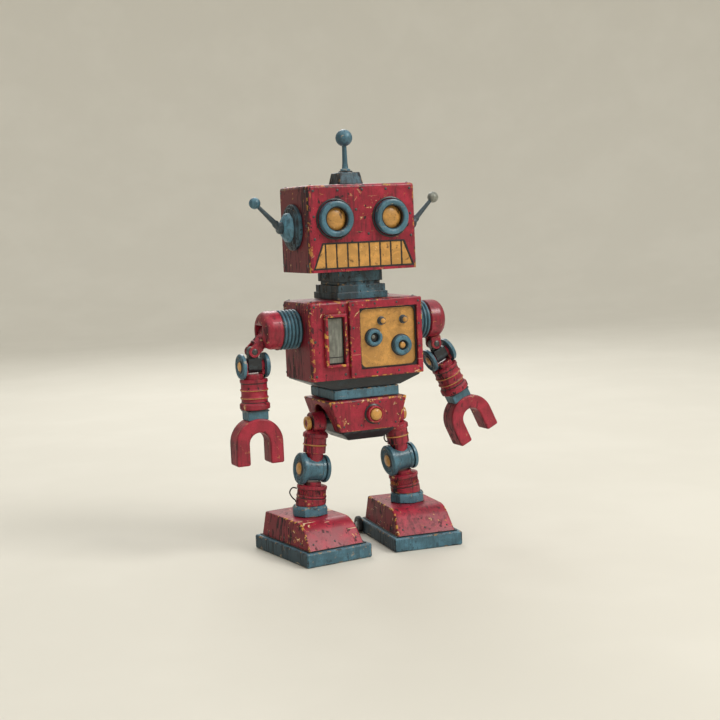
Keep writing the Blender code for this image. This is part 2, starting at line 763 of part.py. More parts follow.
def make_pelvis_pan():
    """The dark tray between the legs, which carries the shaft that both thighs hang on."""
    x = PELVIS_BOTTOM_WIDTH / 2 - SHEET - 2.4 * MM
    y = PELVIS_DEPTH / 2 - SHEET - GAP
    pan = piece(
        "pelvis_pan",
        block(
            (-x + 6 * MM, x - 6 * MM, -y + 7 * MM, y - 7 * MM, HIP_Z - 13 * MM),
            (-x, x, -y + 2 * MM, y - 2 * MM, HIP_Z - 8 * MM),
            (-x, x, -y, y, HIP_Z - HIP_RISE - MM),
            (-x, x, -y, y, HIP_Z + 4 * MM),
        ),
        "dark",
        pelvis_frame,
    )
    lug_end = HIP_SPREAD + HIP_LUG_WIDTH / 2 + GAP
    cap, cap_width = 4.2 * MM, 2.2 * MM
    shaft = [
        (0, lug_end + cap_width),
        (cap - 0.7 * MM, lug_end + cap_width),
        (cap, lug_end + cap_width - 0.7 * MM),
        (cap, lug_end),
        (PIN_RADIUS, lug_end),
        (PIN_RADIUS, -lug_end),
        (cap, -lug_end),
        (cap, -lug_end - cap_width + 0.7 * MM),
        (cap - 0.7 * MM, -lug_end - cap_width),
        (0, -lug_end - cap_width),
    ]
    combine(pan, turned_guide(shaft, pelvis_frame, (0, 0, HIP_Z), ALONG_X, 16), "UNION")


def make_button(wall):
    """The round push button on the pelvis, in a deep bezel."""
    height = (PELVIS_BOTTOM + PELVIS_TOP) / 2
    button_frame = frame("button_frame", pelvis_frame, (BUTTON_SHIFT, -wall, height), (90, 0, 0))
    inner, outer, length = BUTTON_RADIUS + GAP, BUTTON_RADIUS + 1.8 * MM, 4.4 * MM
    ring = [
        (inner, length),
        (outer - 0.5 * MM, length),
        (outer, length - 0.5 * MM),
        (outer, GAP),
        (inner, GAP),
    ]
    turned("button_bezel", ring, "red", button_frame, closed=True)
    knob = [
        (0, length + 1.9 * MM),
        (0.7 * BUTTON_RADIUS, length + 1.6 * MM),
        (BUTTON_RADIUS, length + 0.9 * MM),
        (BUTTON_RADIUS, 2.4 * MM),
        (0, 2.4 * MM),
    ]
    turned("power_button", knob, "amber", button_frame)


# ---------------------------------------------------------------- legs
def make_leg(side, sign):
    """A thigh on the pelvis shaft, a knee with a big disc, a shin, and a foot that swivels."""
    hip_frame = frame(f"hip_frame_{side}", pelvis_frame, (sign * HIP_SPREAD, 0, HIP_Z))
    splay_frame = frame(f"splay_frame_{side}", hip_frame, turn=(0, -sign * math.degrees(SPLAY), 0))
    length = THIGH_REACH / math.cos(SPLAY)
    knee_frame = frame(f"knee_frame_{side}", splay_frame, (0, 0, -length))
    make_thigh(side, hip_frame, splay_frame, knee_frame, length)
    make_shin(side, sign, knee_frame)
    drop = SHIN_REACH / math.cos(SPLAY) + (COLLAR_TOP - FOOT_TOP) / math.cos(SPLAY)
    level_frame = frame(f"level_frame_{side}", knee_frame, (0, 0, -drop), (0, sign * math.degrees(SPLAY), 0))
    foot_frame = frame(f"foot_frame_{side}", level_frame, turn=(0, 0, -sign * TOE_IN))
    make_foot(side, sign, foot_frame)


def make_thigh(side, hip_frame, splay_frame, knee_frame, length):
    lug = HIP_LUG_WIDTH / 2
    thigh = piece(f"thigh_{side}", cylinder(HIP_LUG_RADIUS, -lug, lug), "red", hip_frame, rotation=ALONG_X)
    neck = KNEE_DRUM_WIDTH / 2 - 0.9 * MM
    shoulder = length - KNEE_DISC_RADIUS - GAP
    tube = [
        (0, -2 * MM),
        (4.4 * MM, -5 * MM),
        (THIGH_RADIUS - MM, -6.4 * MM),
        (THIGH_RADIUS + MM, -8 * MM),
        (THIGH_RADIUS + MM, -10.4 * MM),
        (THIGH_RADIUS, -10.8 * MM),
        (THIGH_RADIUS, -shoulder),
        (neck, -shoulder),
        (neck, -length + 4 * MM),
        (0, -length + 4 * MM),
    ]
    combine(thigh, turned_guide(tube, splay_frame), "UNION")
    drum = cylinder(KNEE_DRUM_RADIUS, -KNEE_DRUM_WIDTH / 2, KNEE_DRUM_WIDTH / 2)
    combine(thigh, guide(drum, knee_frame, rotation=ALONG_X), "UNION")
    for parent in (hip_frame, knee_frame):
        bore = guide(cylinder(BORE_RADIUS, -14 * MM, 14 * MM, 16), parent, rotation=ALONG_X)
        combine(thigh, bore, "DIFFERENCE")


def make_shin(side, sign, knee_frame):
    inner = KNEE_DRUM_WIDTH / 2 + GAP
    disc, width = KNEE_DISC_RADIUS, KNEE_DISC_WIDTH
    flange, flange_width = KNEE_DRUM_RADIUS + 0.9 * MM, 2.8 * MM
    axle = [
        (0, inner + flange_width),
        (flange - 1.2 * MM, inner + flange_width),
        (flange, inner + flange_width - 1.2 * MM),
        (flange, inner),
        (PIN_RADIUS, inner),
        (PIN_RADIUS, -inner),
        (disc, -inner),
        (disc, -inner - width + MM),
        (disc - MM, -inner - width),
        (disc - 2.6 * MM, -inner - width),
        (disc - 3.2 * MM, -inner - width + 0.7 * MM),
        (4.6 * MM, -inner - width + 0.7 * MM),
        (4.2 * MM, -inner - width - 0.3 * MM),
        (2.4 * MM, -inner - width - 0.9 * MM),
        (0, -inner - width - 0.9 * MM),
    ]
    turned(f"knee_axle_{side}", axle, "blue", knee_frame, rotation=ALONG_X, steps=18)
    top = KNEE_DISC_RADIUS + GAP
    neck = KNEE_DRUM_WIDTH / 2 - 0.9 * MM
    waist = top + 7.6 * MM
    tube = [
        (0, -KNEE_DRUM_RADIUS - GAP),
        (neck, -KNEE_DRUM_RADIUS - GAP),
        (neck, -top),
        (SHIN_RADIUS, -top),
        (SHIN_RADIUS, -waist),
        (SHIN_RADIUS - 0.5 * MM, -waist - 0.3 * MM),
        (SHIN_RADIUS - 0.5 * MM, -waist - 0.9 * MM),
        (SHIN_RADIUS, -waist - 1.2 * MM),
        (SHIN_RADIUS, -SHIN_REACH - 4 * MM),
        (0, -SHIN_REACH - 4 * MM),
    ]
    shin = turned(f"shin_{side}", tube, "red", knee_frame, steps=18)
    foot_x = sign * (HIP_SPREAD + (HIP_Z - FOOT_TOP) * math.tan(SPLAY))
    floor = centred(60 * MM, 60 * MM, -12 * MM, GAP)
    combine(shin, guide(floor, pelvis_frame, (foot_x, 0, COLLAR_TOP)), "DIFFERENCE")
    socket = guide(cylinder(4 * MM + GAP, -2 * MM, 5.6 * MM, 16), pelvis_frame, (foot_x, 0, COLLAR_TOP))
    combine(shin, socket, "DIFFERENCE")


def make_foot(side, sign, foot_frame):
    lift = GAP
    top = lift + COLLAR_HEIGHT
    collar = [
        (0, top + 5 * MM),
        (4 * MM, top + 5 * MM),
        (4 * MM, top),
        (COLLAR_RADIUS - 1.6 * MM, top),
        (COLLAR_RADIUS, top - 1.8 * MM),
        (COLLAR_RADIUS, lift),
        (0, lift),
    ]
    turned(f"ankle_collar_{side}", collar, "blue", foot_frame, steps=8)
    sole_top = -FOOT_HEIGHT - GAP
    wide = SOLE_WIDTH / 2
    low, high = wide - FOOT_EDGE, FOOT_TOP_WIDTH / 2
    front, back = -SOLE_FRONT + FOOT_EDGE, SOLE_BACK - FOOT_EDGE
    mesh = block(
        (-low, low, front, back, -FOOT_HEIGHT),
        (-high, high, front + FOOT_SLOPE, back - 2.5 * MM, 0),
    )
    bm = bmesh.new()
    bm.from_mesh(mesh)
    bm.edges.ensure_lookup_table()
    toe = min(
        (edge for edge in bm.edges if all(abs(v.co.z) < 0.01 * MM for v in edge.verts)),
        key=lambda edge: (edge.verts[0].co.y + edge.verts[1].co.y),
    )
    bmesh.ops.bevel(bm, geom=[toe], offset=FOOT_SHOULDER, segments=4, profile=0.5, affect="EDGES")
    bm.to_mesh(mesh)
    bm.free()
    shell = hollow(piece(f"foot_shell_{side}", mesh, "red", foot_frame), 1.2 * MM)
    rim = centred(4 * SOLE_FRONT, 4 * SOLE_FRONT, sole_top - MM, sole_top + GAP)
    combine(shell, guide(rim, foot_frame), "DIFFERENCE")
    sole = piece(
        f"sole_{side}",
        block(
            (-wide, wide, -SOLE_FRONT, SOLE_BACK, sole_top - SOLE_HEIGHT),
            (-wide, wide, -SOLE_FRONT, SOLE_BACK, sole_top),
        ),
        "blue",
        foot_frame,
    )
    rounded(sole, 0.9 * MM, 1)
    heel = (-sign * wide, SOLE_BACK - ROLLER_RADIUS, sole_top - SOLE_HEIGHT + ROLLER_RADIUS + 0.5 * MM)
    stub = 4 * MM
    axle_hole = guide(cylinder(1.5 * MM + GAP, -stub, stub, 16), foot_frame, heel, ALONG_X)
    combine(sole, axle_hole, "DIFFERENCE")
    roller_frame = frame(f"roller_frame_{side}", foot_frame, heel, (0, -sign * 90, 0))
    wheel = [
        (0, ROLLER_WIDTH + 0.6 * MM),
        (1.6 * MM, ROLLER_WIDTH + 0.6 * MM),
        (2 * MM, ROLLER_WIDTH - 0.4 * MM),
        (ROLLER_RADIUS - 1.6 * MM, ROLLER_WIDTH - 0.4 * MM),
        (ROLLER_RADIUS - MM, ROLLER_WIDTH),
        (ROLLER_RADIUS - 0.5 * MM, ROLLER_WIDTH),
        (ROLLER_RADIUS, ROLLER_WIDTH - 0.5 * MM),
        (ROLLER_RADIUS, GAP),
        (1.5 * MM, GAP),
        (1.5 * MM, -3.4 * MM),
        (0, -3.4 * MM),
    ]
    turned(f"heel_roller_{side}", wheel, "black", roller_frame, steps=16)


def make_leg_wires():
    """A short lead down the outside of the right shin, and a loop at the top of the left thigh."""
    knee_frame = bpy.data.objects["knee_frame_right"]
    edge = -SHIN_RADIUS - 0.9 * MM
    route = [
        (edge, 0, -14.2 * MM),
        (edge - 3.6 * MM, -0.4 * MM, -13.8 * MM),
        (edge - 5.6 * MM, -0.8 * MM, -17 * MM),
        (edge - 3.4 * MM, -0.8 * MM, -20.6 * MM),
        (edge - 0.8 * MM, -0.4 * MM, -22.6 * MM),
        (edge, 0, -24 * MM),
    ]
    wire("shin_lead", route, 0.5 * MM, knee_frame)
    splay_frame = bpy.data.objects["splay_frame_left"]
    edge = -THIGH_RADIUS - 0.9 * MM
    loop = [
        (edge, -2 * MM, -13.4 * MM),
        (edge - 2 * MM, -2.4 * MM, -12.8 * MM),
        (edge - 3.2 * MM, -2.8 * MM, -15.4 * MM),
        (edge - 2 * MM, -2.6 * MM, -18.2 * MM),
        (edge, -2 * MM, -18.4 * MM),
    ]
    wire("thigh_lead", loop, 0.5 * MM, splay_frame)


# ---------------------------------------------------------------- arms
def make_arm(side, sign):
    """Ribbed drum and slotted cap on the shoulder's shaft, then upper arm, elbow, forearm and claw."""
    lift_angle, forearm_angle = ARM_REST[side]
    wall = sign * TORSO_WIDTH / 2
    turn_frame = frame(f"shoulder_frame_{side}", torso_axes, (wall, 0, SHOULDER_Z))
    make_shoulder(side, sign, turn_frame)
    pivot_x = sign * (DRUM_WIDTH + GAP + CAP_WIDTH / 2)
    lift_turn = (0, -sign * lift_angle, 0)
    lift_frame = frame(f"lift_frame_{side}", turn_frame, (pivot_x, 0, -LIFT_DROP), lift_turn)
    sway_turn = (0, -sign * (forearm_angle - lift_angle), 0)
    sway_frame = frame(f"sway_frame_{side}", lift_frame, (0, 0, -UPPER_ARM_LENGTH), sway_turn)
    elbow_frame = frame(f"elbow_frame_{side}", sway_frame, (0, 0, -ELBOW_DROP))
    make_upper_arm(side, lift_frame, sway_frame)
    make_elbow(side, sway_frame, elbow_frame)
    make_forearm(side, elbow_frame)
    wrist_z = ELBOW_DISC_RADIUS + 0.6 * MM + FOREARM_LENGTH
    wrist_frame = frame(f"wrist_frame_{side}", elbow_frame, (0, 0, -wrist_z))
    make_claw(side, wrist_frame)


def make_shoulder(side, sign, turn_frame):
    outwards = (0, sign * QUARTER, 0)
    ribs = 3
    pitch = (DRUM_WIDTH - 2 * GAP) / ribs
    groove = 1.1 * MM
    drum = [(0, DRUM_WIDTH - GAP)]
    for i in range(ribs):
        high = DRUM_WIDTH - GAP - i * pitch
        drum += [
            (DRUM_RADIUS - groove, high),
            (DRUM_RADIUS, high - 0.25 * pitch),
            (DRUM_RADIUS, high - 0.7 * pitch),
            (DRUM_RADIUS - groove, high - 0.95 * pitch),
        ]
    shaft = PIN_RADIUS + 2 * MM
    drum += [(DRUM_RADIUS - groove, GAP), (shaft, GAP), (shaft, -4 * MM), (0, -4 * MM)]
    turned(f"shoulder_drum_{side}", drum, "blue", turn_frame, rotation=outwards, steps=18)
    low, high = DRUM_WIDTH, DRUM_WIDTH + CAP_WIDTH
    curve = 6 * MM
    cap = [(0, high)]
    cap += [
        (radius, height)
        for radius, height in reversed(arc(DRUM_RADIUS - curve, high - curve, curve, 0, 90, 3))
    ]
    cap += [(DRUM_RADIUS, low + MM), (DRUM_RADIUS - MM, low), (0, low)]
    hood = turned(f"shoulder_cap_{side}", cap, "red", turn_frame, rotation=outwards, steps=18)
    start = sign * (DRUM_WIDTH + 1.4 * MM)
    end = sign * (DRUM_WIDTH + CAP_WIDTH + 4 * MM)
    half = CAP_SLOT / 2
    near, far = min(start, end), max(start, end)
    ceiling = UPPER_ARM_RADIUS + 2 * GAP - LIFT_DROP
    slot = block((near, far, -half, half, -DRUM_RADIUS - 4 * MM), (near, far, -half, half, ceiling))
    combine(hood, guide(slot, turn_frame), "DIFFERENCE")
    pivot = (sign * (DRUM_WIDTH + GAP + CAP_WIDTH / 2), 0, -LIFT_DROP)
    pin = cylinder(1.5 * MM, -half - 0.1 * MM, half + 0.1 * MM, SMALL_ROUND)
    combine(hood, guide(pin, turn_frame, pivot, FORWARD), "UNION")


def make_upper_arm(side, lift_frame, sway_frame):
    half = CAP_SLOT / 2 - GAP
    barrel = cylinder(UPPER_ARM_RADIUS - 0.4 * MM, -half, half)
    arm = piece(f"upper_arm_{side}", barrel, "red", lift_frame, rotation=FORWARD)
    fork_radius = 4 * MM
    end = UPPER_ARM_LENGTH - fork_radius - 0.6 * MM
    tube = [
        (0, 0),
        (UPPER_ARM_RADIUS - 1.4 * MM, -MM),
        (UPPER_ARM_RADIUS - 0.8 * MM, -6.4 * MM),
        (UPPER_ARM_RADIUS, -6.6 * MM),
        (UPPER_ARM_RADIUS, -end),
        (0, -end),
    ]
    combine(arm, turned_guide(tube, lift_frame), "UNION")
    cheek_inner, cheek_outer = 2.8 * MM, 5.2 * MM
    link = Vector((0, 0, -UPPER_ARM_LENGTH))
    fork = guide(cylinder(fork_radius, -cheek_outer, cheek_outer), lift_frame, link, FORWARD)
    combine(arm, fork, "UNION")
    web = centred(2 * fork_radius - 0.4 * MM, 2 * cheek_outer - 0.4 * MM, -UPPER_ARM_LENGTH, -end + MM)
    combine(arm, guide(web, lift_frame), "UNION")
    slot = centred(4 * fork_radius, 2 * cheek_inner, -UPPER_ARM_LENGTH - 2 * fork_radius, -end - 0.2 * MM)
    combine(arm, guide(slot, lift_frame), "DIFFERENCE")
    for place, reach in (((0, 0, 0), half + MM), (link, cheek_outer + MM)):
        hole = guide(cylinder(1.5 * MM + GAP, -reach, reach, SMALL_ROUND), lift_frame, place, FORWARD)
        combine(arm, hole, "DIFFERENCE")


def make_elbow(side, sway_frame, elbow_frame):
    """The block between upper arm and forearm: a tongue on a front-to-back pin, and a cross bore below."""
    half = ELBOW_BLOCK_WIDTH / 2
    cheek_radius, tongue = 4 * MM, 2.5 * MM
    knuckle = cylinder(cheek_radius - 0.3 * MM, -tongue, tongue)
    body = piece(f"elbow_block_{side}", knuckle, "dark", sway_frame, rotation=FORWARD)
    neck = centred(2 * cheek_radius - 0.8 * MM, 2 * tongue - 0.1 * MM, -ELBOW_DROP, 0)
    combine(body, guide(neck, sway_frame), "UNION")
    depth = 4.9 * MM
    barrel = guide(cylinder(depth, -half, half), elbow_frame, rotation=ALONG_X)
    combine(body, barrel, "UNION")
    cap = centred(ELBOW_BLOCK_WIDTH - 0.1 * MM, 2 * depth - 0.1 * MM, 0, ELBOW_DROP - cheek_radius - 2 * GAP)
    combine(body, guide(cap, elbow_frame), "UNION")
    pin = guide(cylinder(1.5 * MM, -5.2 * MM, 5.2 * MM, SMALL_ROUND), sway_frame, rotation=FORWARD)
    combine(body, pin, "UNION")
    bore = guide(cylinder(BORE_RADIUS, -2 * half, 2 * half, 16), elbow_frame, rotation=ALONG_X)
    combine(body, bore, "DIFFERENCE")


def make_forearm(side, elbow_frame):
    inner = ELBOW_BLOCK_WIDTH / 2 + LUG_WIDTH + 2 * GAP
    disc, width = ELBOW_DISC_RADIUS, ELBOW_DISC_WIDTH
    half_axle = [
        (disc, inner),
        (disc, inner + width - 0.8 * MM),
        (disc - 0.8 * MM, inner + width),
        (disc - 2.2 * MM, inner + width),
        (disc - 2.7 * MM, inner + width - 0.6 * MM),
        (3.6 * MM, inner + width - 0.6 * MM),
        (3.2 * MM, inner + width + 0.3 * MM),
        (1.8 * MM, inner + width + 0.7 * MM),
        (0, inner + width + 0.7 * MM),
    ]
    far_end = [(radius, -height) for radius, height in half_axle]
    axle = list(reversed(half_axle)) + [(PIN_RADIUS, inner), (PIN_RADIUS, -inner)] + far_end
    turned(f"elbow_axle_{side}", axle, "blue", elbow_frame, rotation=ALONG_X)
    top = ELBOW_DISC_RADIUS + GAP
    neck = inner - GAP
    block_radius = 4.9 * MM
    end = top + FOREARM_LENGTH
    bead = 0.6 * MM
    tube = [
        (0, -block_radius - 2 * GAP),
        (neck, -block_radius - 2 * GAP),
        (neck, -top),
        (FOREARM_RADIUS + bead, -top),
        (FOREARM_RADIUS + bead, -top - 2.4 * MM),
    ]
    for share in (0.36, 0.62):
        middle = top + share * FOREARM_LENGTH
        tube += [
            (FOREARM_RADIUS, -middle + MM),
            (FOREARM_RADIUS + bead, -middle + 0.4 * MM),
            (FOREARM_RADIUS + bead, -middle - 0.4 * MM),
            (FOREARM_RADIUS, -middle - MM),
        ]
    tube += [
        (FOREARM_RADIUS, -end + 4.6 * MM),
        (FOREARM_RADIUS + 1.4 * MM, -end + 3.8 * MM),
        (FOREARM_RADIUS + 1.4 * MM, -end),
        (3 * MM + GAP, -end),
        (3 * MM + GAP, -end + 6 * MM),
        (0, -end + 6 * MM),
    ]
    forearm = turned(f"forearm_{side}", tube, "red", elbow_frame, steps=18)
    near = ELBOW_BLOCK_WIDTH / 2 + GAP
    for direction in (-1, 1):
        start, finish = sorted((direction * near, direction * (near + LUG_WIDTH)))
        ear = guide(cylinder(4.4 * MM, start, finish), elbow_frame, rotation=ALONG_X)
        combine(forearm, ear, "UNION")
        strap_y = 4.2 * MM
        strap = block(
            (start + 0.05 * MM, finish - 0.05 * MM, -strap_y, strap_y, -block_radius - MM),
            (start + 0.05 * MM, finish - 0.05 * MM, -strap_y, strap_y, 0),
        )
        combine(forearm, guide(strap, elbow_frame), "UNION")
    bore = guide(cylinder(PIN_RADIUS + GAP, -inner - MM, inner + MM, 16), elbow_frame, rotation=ALONG_X)
    combine(forearm, bore, "DIFFERENCE")


def make_claw(side, wrist_frame):
    """A horseshoe claw under a square wrist block that turns in the forearm's cuff."""
    arch_z = -WRIST_HEIGHT - CLAW_RADIUS
    inner = CLAW_GAP / 2
    foot_z = arch_z - CLAW_LEG
    outline = arc(0, arch_z, CLAW_RADIUS, 0, 180, 16)
    outline += [(-CLAW_RADIUS, foot_z), (-inner, foot_z)]
    outline += arc(0, arch_z, inner, 180, 0, 10)
    outline += [(inner, foot_z), (CLAW_RADIUS, foot_z)]
    claw = piece(f"claw_{side}", upright_plate(outline, CLAW_DEPTH), "red", wrist_frame)
    rounded(claw, 1.3 * MM, 1)
    wrist = centred(WRIST_WIDTH, WRIST_WIDTH - 2 * MM, -WRIST_HEIGHT - 2 * MM, -GAP)
    combine(claw, guide(wrist, wrist_frame), "UNION")
    combine(claw, guide(cylinder(3 * MM, -WRIST_HEIGHT, 5 * MM, 16), wrist_frame), "UNION")


make_head()
make_neck()
make_torso()
make_pelvis()
for side_name, side_sign in SIDES.items():
    make_arm(side_name, side_sign)
    make_leg(side_name, side_sign)
make_leg_wires()


def stand_over_origin():
    """Move the whole figure so that the middle of its bounding box stands over the origin."""
    bpy.context.view_layer.update()
    depsgraph = bpy.context.evaluated_depsgraph_get()
    corners = []
    for obj in robot_collection.objects:
        if obj.type == "EMPTY":
            continue
        body = obj.evaluated_get(depsgraph)
        data = body.to_mesh()
        corners += [obj.matrix_world @ vertex.co for vertex in data.vertices]
        body.to_mesh_clear()
    for axis in (0, 1):
        values = [corner[axis] for corner in corners]
        robot.location[axis] = -(min(values) + max(values)) / 2


stand_over_origin()
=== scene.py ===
import json
import math

import bmesh
import bpy
from mathutils import Matrix, Vector


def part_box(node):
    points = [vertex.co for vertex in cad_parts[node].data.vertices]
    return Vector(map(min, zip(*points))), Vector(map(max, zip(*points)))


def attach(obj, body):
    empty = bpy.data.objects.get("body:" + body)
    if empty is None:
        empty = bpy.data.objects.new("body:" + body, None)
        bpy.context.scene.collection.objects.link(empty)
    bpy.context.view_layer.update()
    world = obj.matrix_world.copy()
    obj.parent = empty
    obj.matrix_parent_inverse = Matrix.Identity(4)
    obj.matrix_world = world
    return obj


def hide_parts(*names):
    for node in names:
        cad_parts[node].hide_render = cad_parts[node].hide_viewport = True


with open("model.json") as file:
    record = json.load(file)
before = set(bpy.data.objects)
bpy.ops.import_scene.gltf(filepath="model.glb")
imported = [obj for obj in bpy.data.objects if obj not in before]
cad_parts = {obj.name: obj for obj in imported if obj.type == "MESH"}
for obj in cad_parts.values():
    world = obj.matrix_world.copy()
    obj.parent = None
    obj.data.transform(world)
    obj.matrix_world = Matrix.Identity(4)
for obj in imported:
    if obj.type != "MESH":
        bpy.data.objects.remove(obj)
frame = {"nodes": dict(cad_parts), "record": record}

bl_info = {
    "name": "Tin Toy Robot",
    "version": (1, 0, 0),
    "blender": (4, 5, 0),
    "location": "View3D > Sidebar > Robot",
    "description": "Dresses a jointed tin toy robot in worn enamel, rivets, dials and claws",
    "category": "Object",
}

MM = 0.001
WELD = 0.002 * MM  # corners closer than this are one
SIDES = {"right": -1, "left": 1}
UP, FRONT, BACK, OUTWARD = Vector((0, 0, 1)), Vector((0, -1, 0)), Vector((0, 1, 0)), Vector((1, 0, 0))
JOINTS = {joint["name"]: joint for joint in frame["record"]["behaviour"]["joints"]}
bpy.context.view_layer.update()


def pivot(joint):
    """The point a joint turns on."""
    return Vector(JOINTS[joint]["pos_m"])


def low(node):
    """Lowest corner of a node's box."""
    return Vector(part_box(node)[0])


def high(node):
    """Highest corner of a node's box."""
    return Vector(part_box(node)[1])


def middle(node):
    """Centre of a node's box."""
    return (low(node) + high(node)) / 2


# ------------------------------------------------------------------ settings
def tint(name, about, default):
    """A colour setting."""
    return bpy.props.FloatVectorProperty(
        name=name, description=about, subtype="COLOR", default=default, min=0, max=1
    )


def number(name, about, default, least, most, **kind):
    """A number setting."""
    return bpy.props.FloatProperty(
        name=name, description=about, default=default, min=least, max=most, **kind
    )


def angle_of(name, about, degrees):
    """An angle setting, given in degrees."""
    return number(name, about, math.radians(degrees), -math.pi, math.pi, subtype="ANGLE")


class RobotPaint(bpy.types.PropertyGroup):
    """The enamel colours and how worn they are."""

    red: tint("Red", "Enamel of the body and limbs", (0.405, 0.016, 0.042))
    blue: tint("Blue", "Enamel of the fittings", (0.08, 0.205, 0.28))
    amber: tint("Amber", "Panel, teeth and button", (0.66, 0.33, 0.075))
    cream: tint("Primer", "Pale primer under the chips", (0.72, 0.56, 0.36))
    gold: tint("Gold", "Yellowed rim of a chip", (0.6, 0.3, 0.06))
    grime: tint("Grime", "Soot in the streaks", (0.009, 0.008, 0.011))
    wear: number("Wear", "How much enamel has chipped", 1.0, 0, 2)
    dirt: number("Dirt", "How strong the streaks are", 1.0, 0, 2)


class RobotParts(bpy.types.PropertyGroup):
    """Sizes of the small fittings that the frame leaves open."""

    rivet: number("Rivet", "Radius of a rivet head", 1.0 * MM, 0.3 * MM, 3 * MM, unit="LENGTH")
    edge: number("Edge", "Rounding of turned edges", 0.28 * MM, 0.05 * MM, 1 * MM, unit="LENGTH")
    steps: bpy.props.IntProperty(
        name="Steps", description="Sides of a turned piece", default=64, min=16, max=128
    )


class RobotStudio(bpy.types.PropertyGroup):
    """Camera and light."""

    azimuth: angle_of("Azimuth", "Camera round the robot", -25)
    elevation: angle_of("Elevation", "Camera above the horizon", 6)
    roll: angle_of("Roll", "Lean of the camera", 2.4)
    distance: number("Distance", "Camera to the robot", 0.965, 0.3, 5, unit="LENGTH")
    lens: number("Lens", "Focal length in millimetres", 67.0, 20, 200)
    key: number("Key light", "Power of the large soft light", 12.0, 0, 200)


def paint():
    return bpy.context.scene.robot_paint


def parts():
    return bpy.context.scene.robot_parts


# ------------------------------------------------------------------ finishes
class Tone:
    """A value inside a finish; sums and products on it add Math nodes."""

    def __init__(self, finish, socket):
        self.finish = finish
        self.socket = socket

    def sum(self, operation, first, second):
        return self.finish.node("Math", {"operation": operation}, {0: first, 1: second})

    def __add__(self, other):
        return self.sum("ADD", self, other)

    __radd__ = __add__

    def __sub__(self, other):
        return self.sum("SUBTRACT", self, other)

    def __rsub__(self, other):
        return self.sum("SUBTRACT", other, self)

    def __mul__(self, other):
        return self.sum("MULTIPLY", self, other)

    __rmul__ = __mul__

    def __abs__(self):
        return self.sum("ABSOLUTE", self, 0)

    def at_least(self, other):
        return self.sum("MAXIMUM", self, other)

    def at_most(self, other):
        return self.sum("MINIMUM", self, other)

    def above(self, start, end):
        """0 below start and 1 above end, with a soft step between."""
        return self.finish.node(
            "MapRange",
            {"interpolation_type": "SMOOTHSTEP"},
            {"Value": self, "From Min": start, "From Max": end},
        )


class Finish:
    """One procedural material, with the few steps that worn enamel needs."""

    def __init__(self, name):
        self.material = bpy.data.materials.new(name)
        self.material.use_nodes = True
        self.tree = self.material.node_tree
        self.shader = self.tree.nodes["Principled BSDF"]
        self.place = Tone(self, self.tree.nodes.new("ShaderNodeTexCoord").outputs["Object"])
        self.facing = Tone(self, self.place.socket.node.outputs["Normal"])

    def node(self, kind, settings=None, sockets=None, output=0):
        """Add a node, set it up, then feed its sockets."""
        made = self.tree.nodes.new("ShaderNode" + kind)
        for key, setting in (settings or {}).items():
            setattr(made, key, setting)
        for key, value in (sockets or {}).items():
            self.feed(made.inputs[key], value)
        return Tone(self, made.outputs[output])

    def feed(self, socket, value):
        if isinstance(value, Tone):
            self.tree.links.new(value.socket, socket)
        elif socket.type == "RGBA":
            socket.default_value = (*value[:3], 1)
        else:
            socket.default_value = value

    def mapped(self, stretch=(1, 1, 1), shift=(0, 0, 0), turn=(0, 0, 0)):
        turn = [math.radians(angle) for angle in turn]
        return self.node(
            "Mapping", {}, {"Vector": self.place, "Location": shift, "Rotation": turn, "Scale": stretch}
        )

    def noise(self, scale, detail=3.0, stretch=(1, 1, 1), shift=(0, 0, 0), turn=(0, 0, 0), swirl=0.0):
        vector = self.mapped(stretch, shift, turn)
        sockets = {
            "Vector": vector, "Scale": scale, "Detail": detail, "Roughness": 0.6, "Distortion": swirl
        }
        return self.node("TexNoise", {"noise_dimensions": "3D"}, sockets)

    def mix(self, share, first, second):
        """first where share is 0 and second where it is 1."""
        return self.node("Mix", {"data_type": "RGBA"}, {0: share, 6: first, 7: second}, 2)

    def axis(self, vector, name):
        return self.node("SeparateXYZ", {}, {0: vector}, name)

    def edges(self, radius=0.75 * MM):
        """1 on the sharp and rounded edges of the piece."""
        rounded = self.node("Bevel", {"samples": 4}, {"Radius": radius})
        plain = self.tree.nodes.new("ShaderNodeNewGeometry").outputs["Normal"]
        meet = self.node(
            "VectorMath", {"operation": "DOT_PRODUCT"}, {0: rounded, 1: Tone(self, plain)}, "Value"
        )
        rim = self.node("Attribute", {"attribute_name": "rounding"}, {}, "Fac")
        return (1 - meet).above(0.025, 0.17).at_least(rim)

    def bump(self, height, distance, strength=0.5):
        return self.node("Bump", {}, {"Height": height, "Distance": distance, "Strength": strength})

    def set(self, colour, roughness, metallic=0.0, coat=0.0, normal=None, specular=0.5):
        sockets = {
            "Base Color": colour,
            "Roughness": roughness,
            "Metallic": metallic,
            "Coat Weight": coat,
            "Coat Roughness": 0.12,
            "Specular IOR Level": specular,
        }
        for key, value in sockets.items():
            self.feed(self.shader.inputs[key], value)
        if normal is not None:
            self.feed(self.shader.inputs["Normal"], normal)
        return self.material


def times(colour, factor):
    """A colour made brighter or darker."""
    return tuple(min(1.0, part * factor) for part in colour)


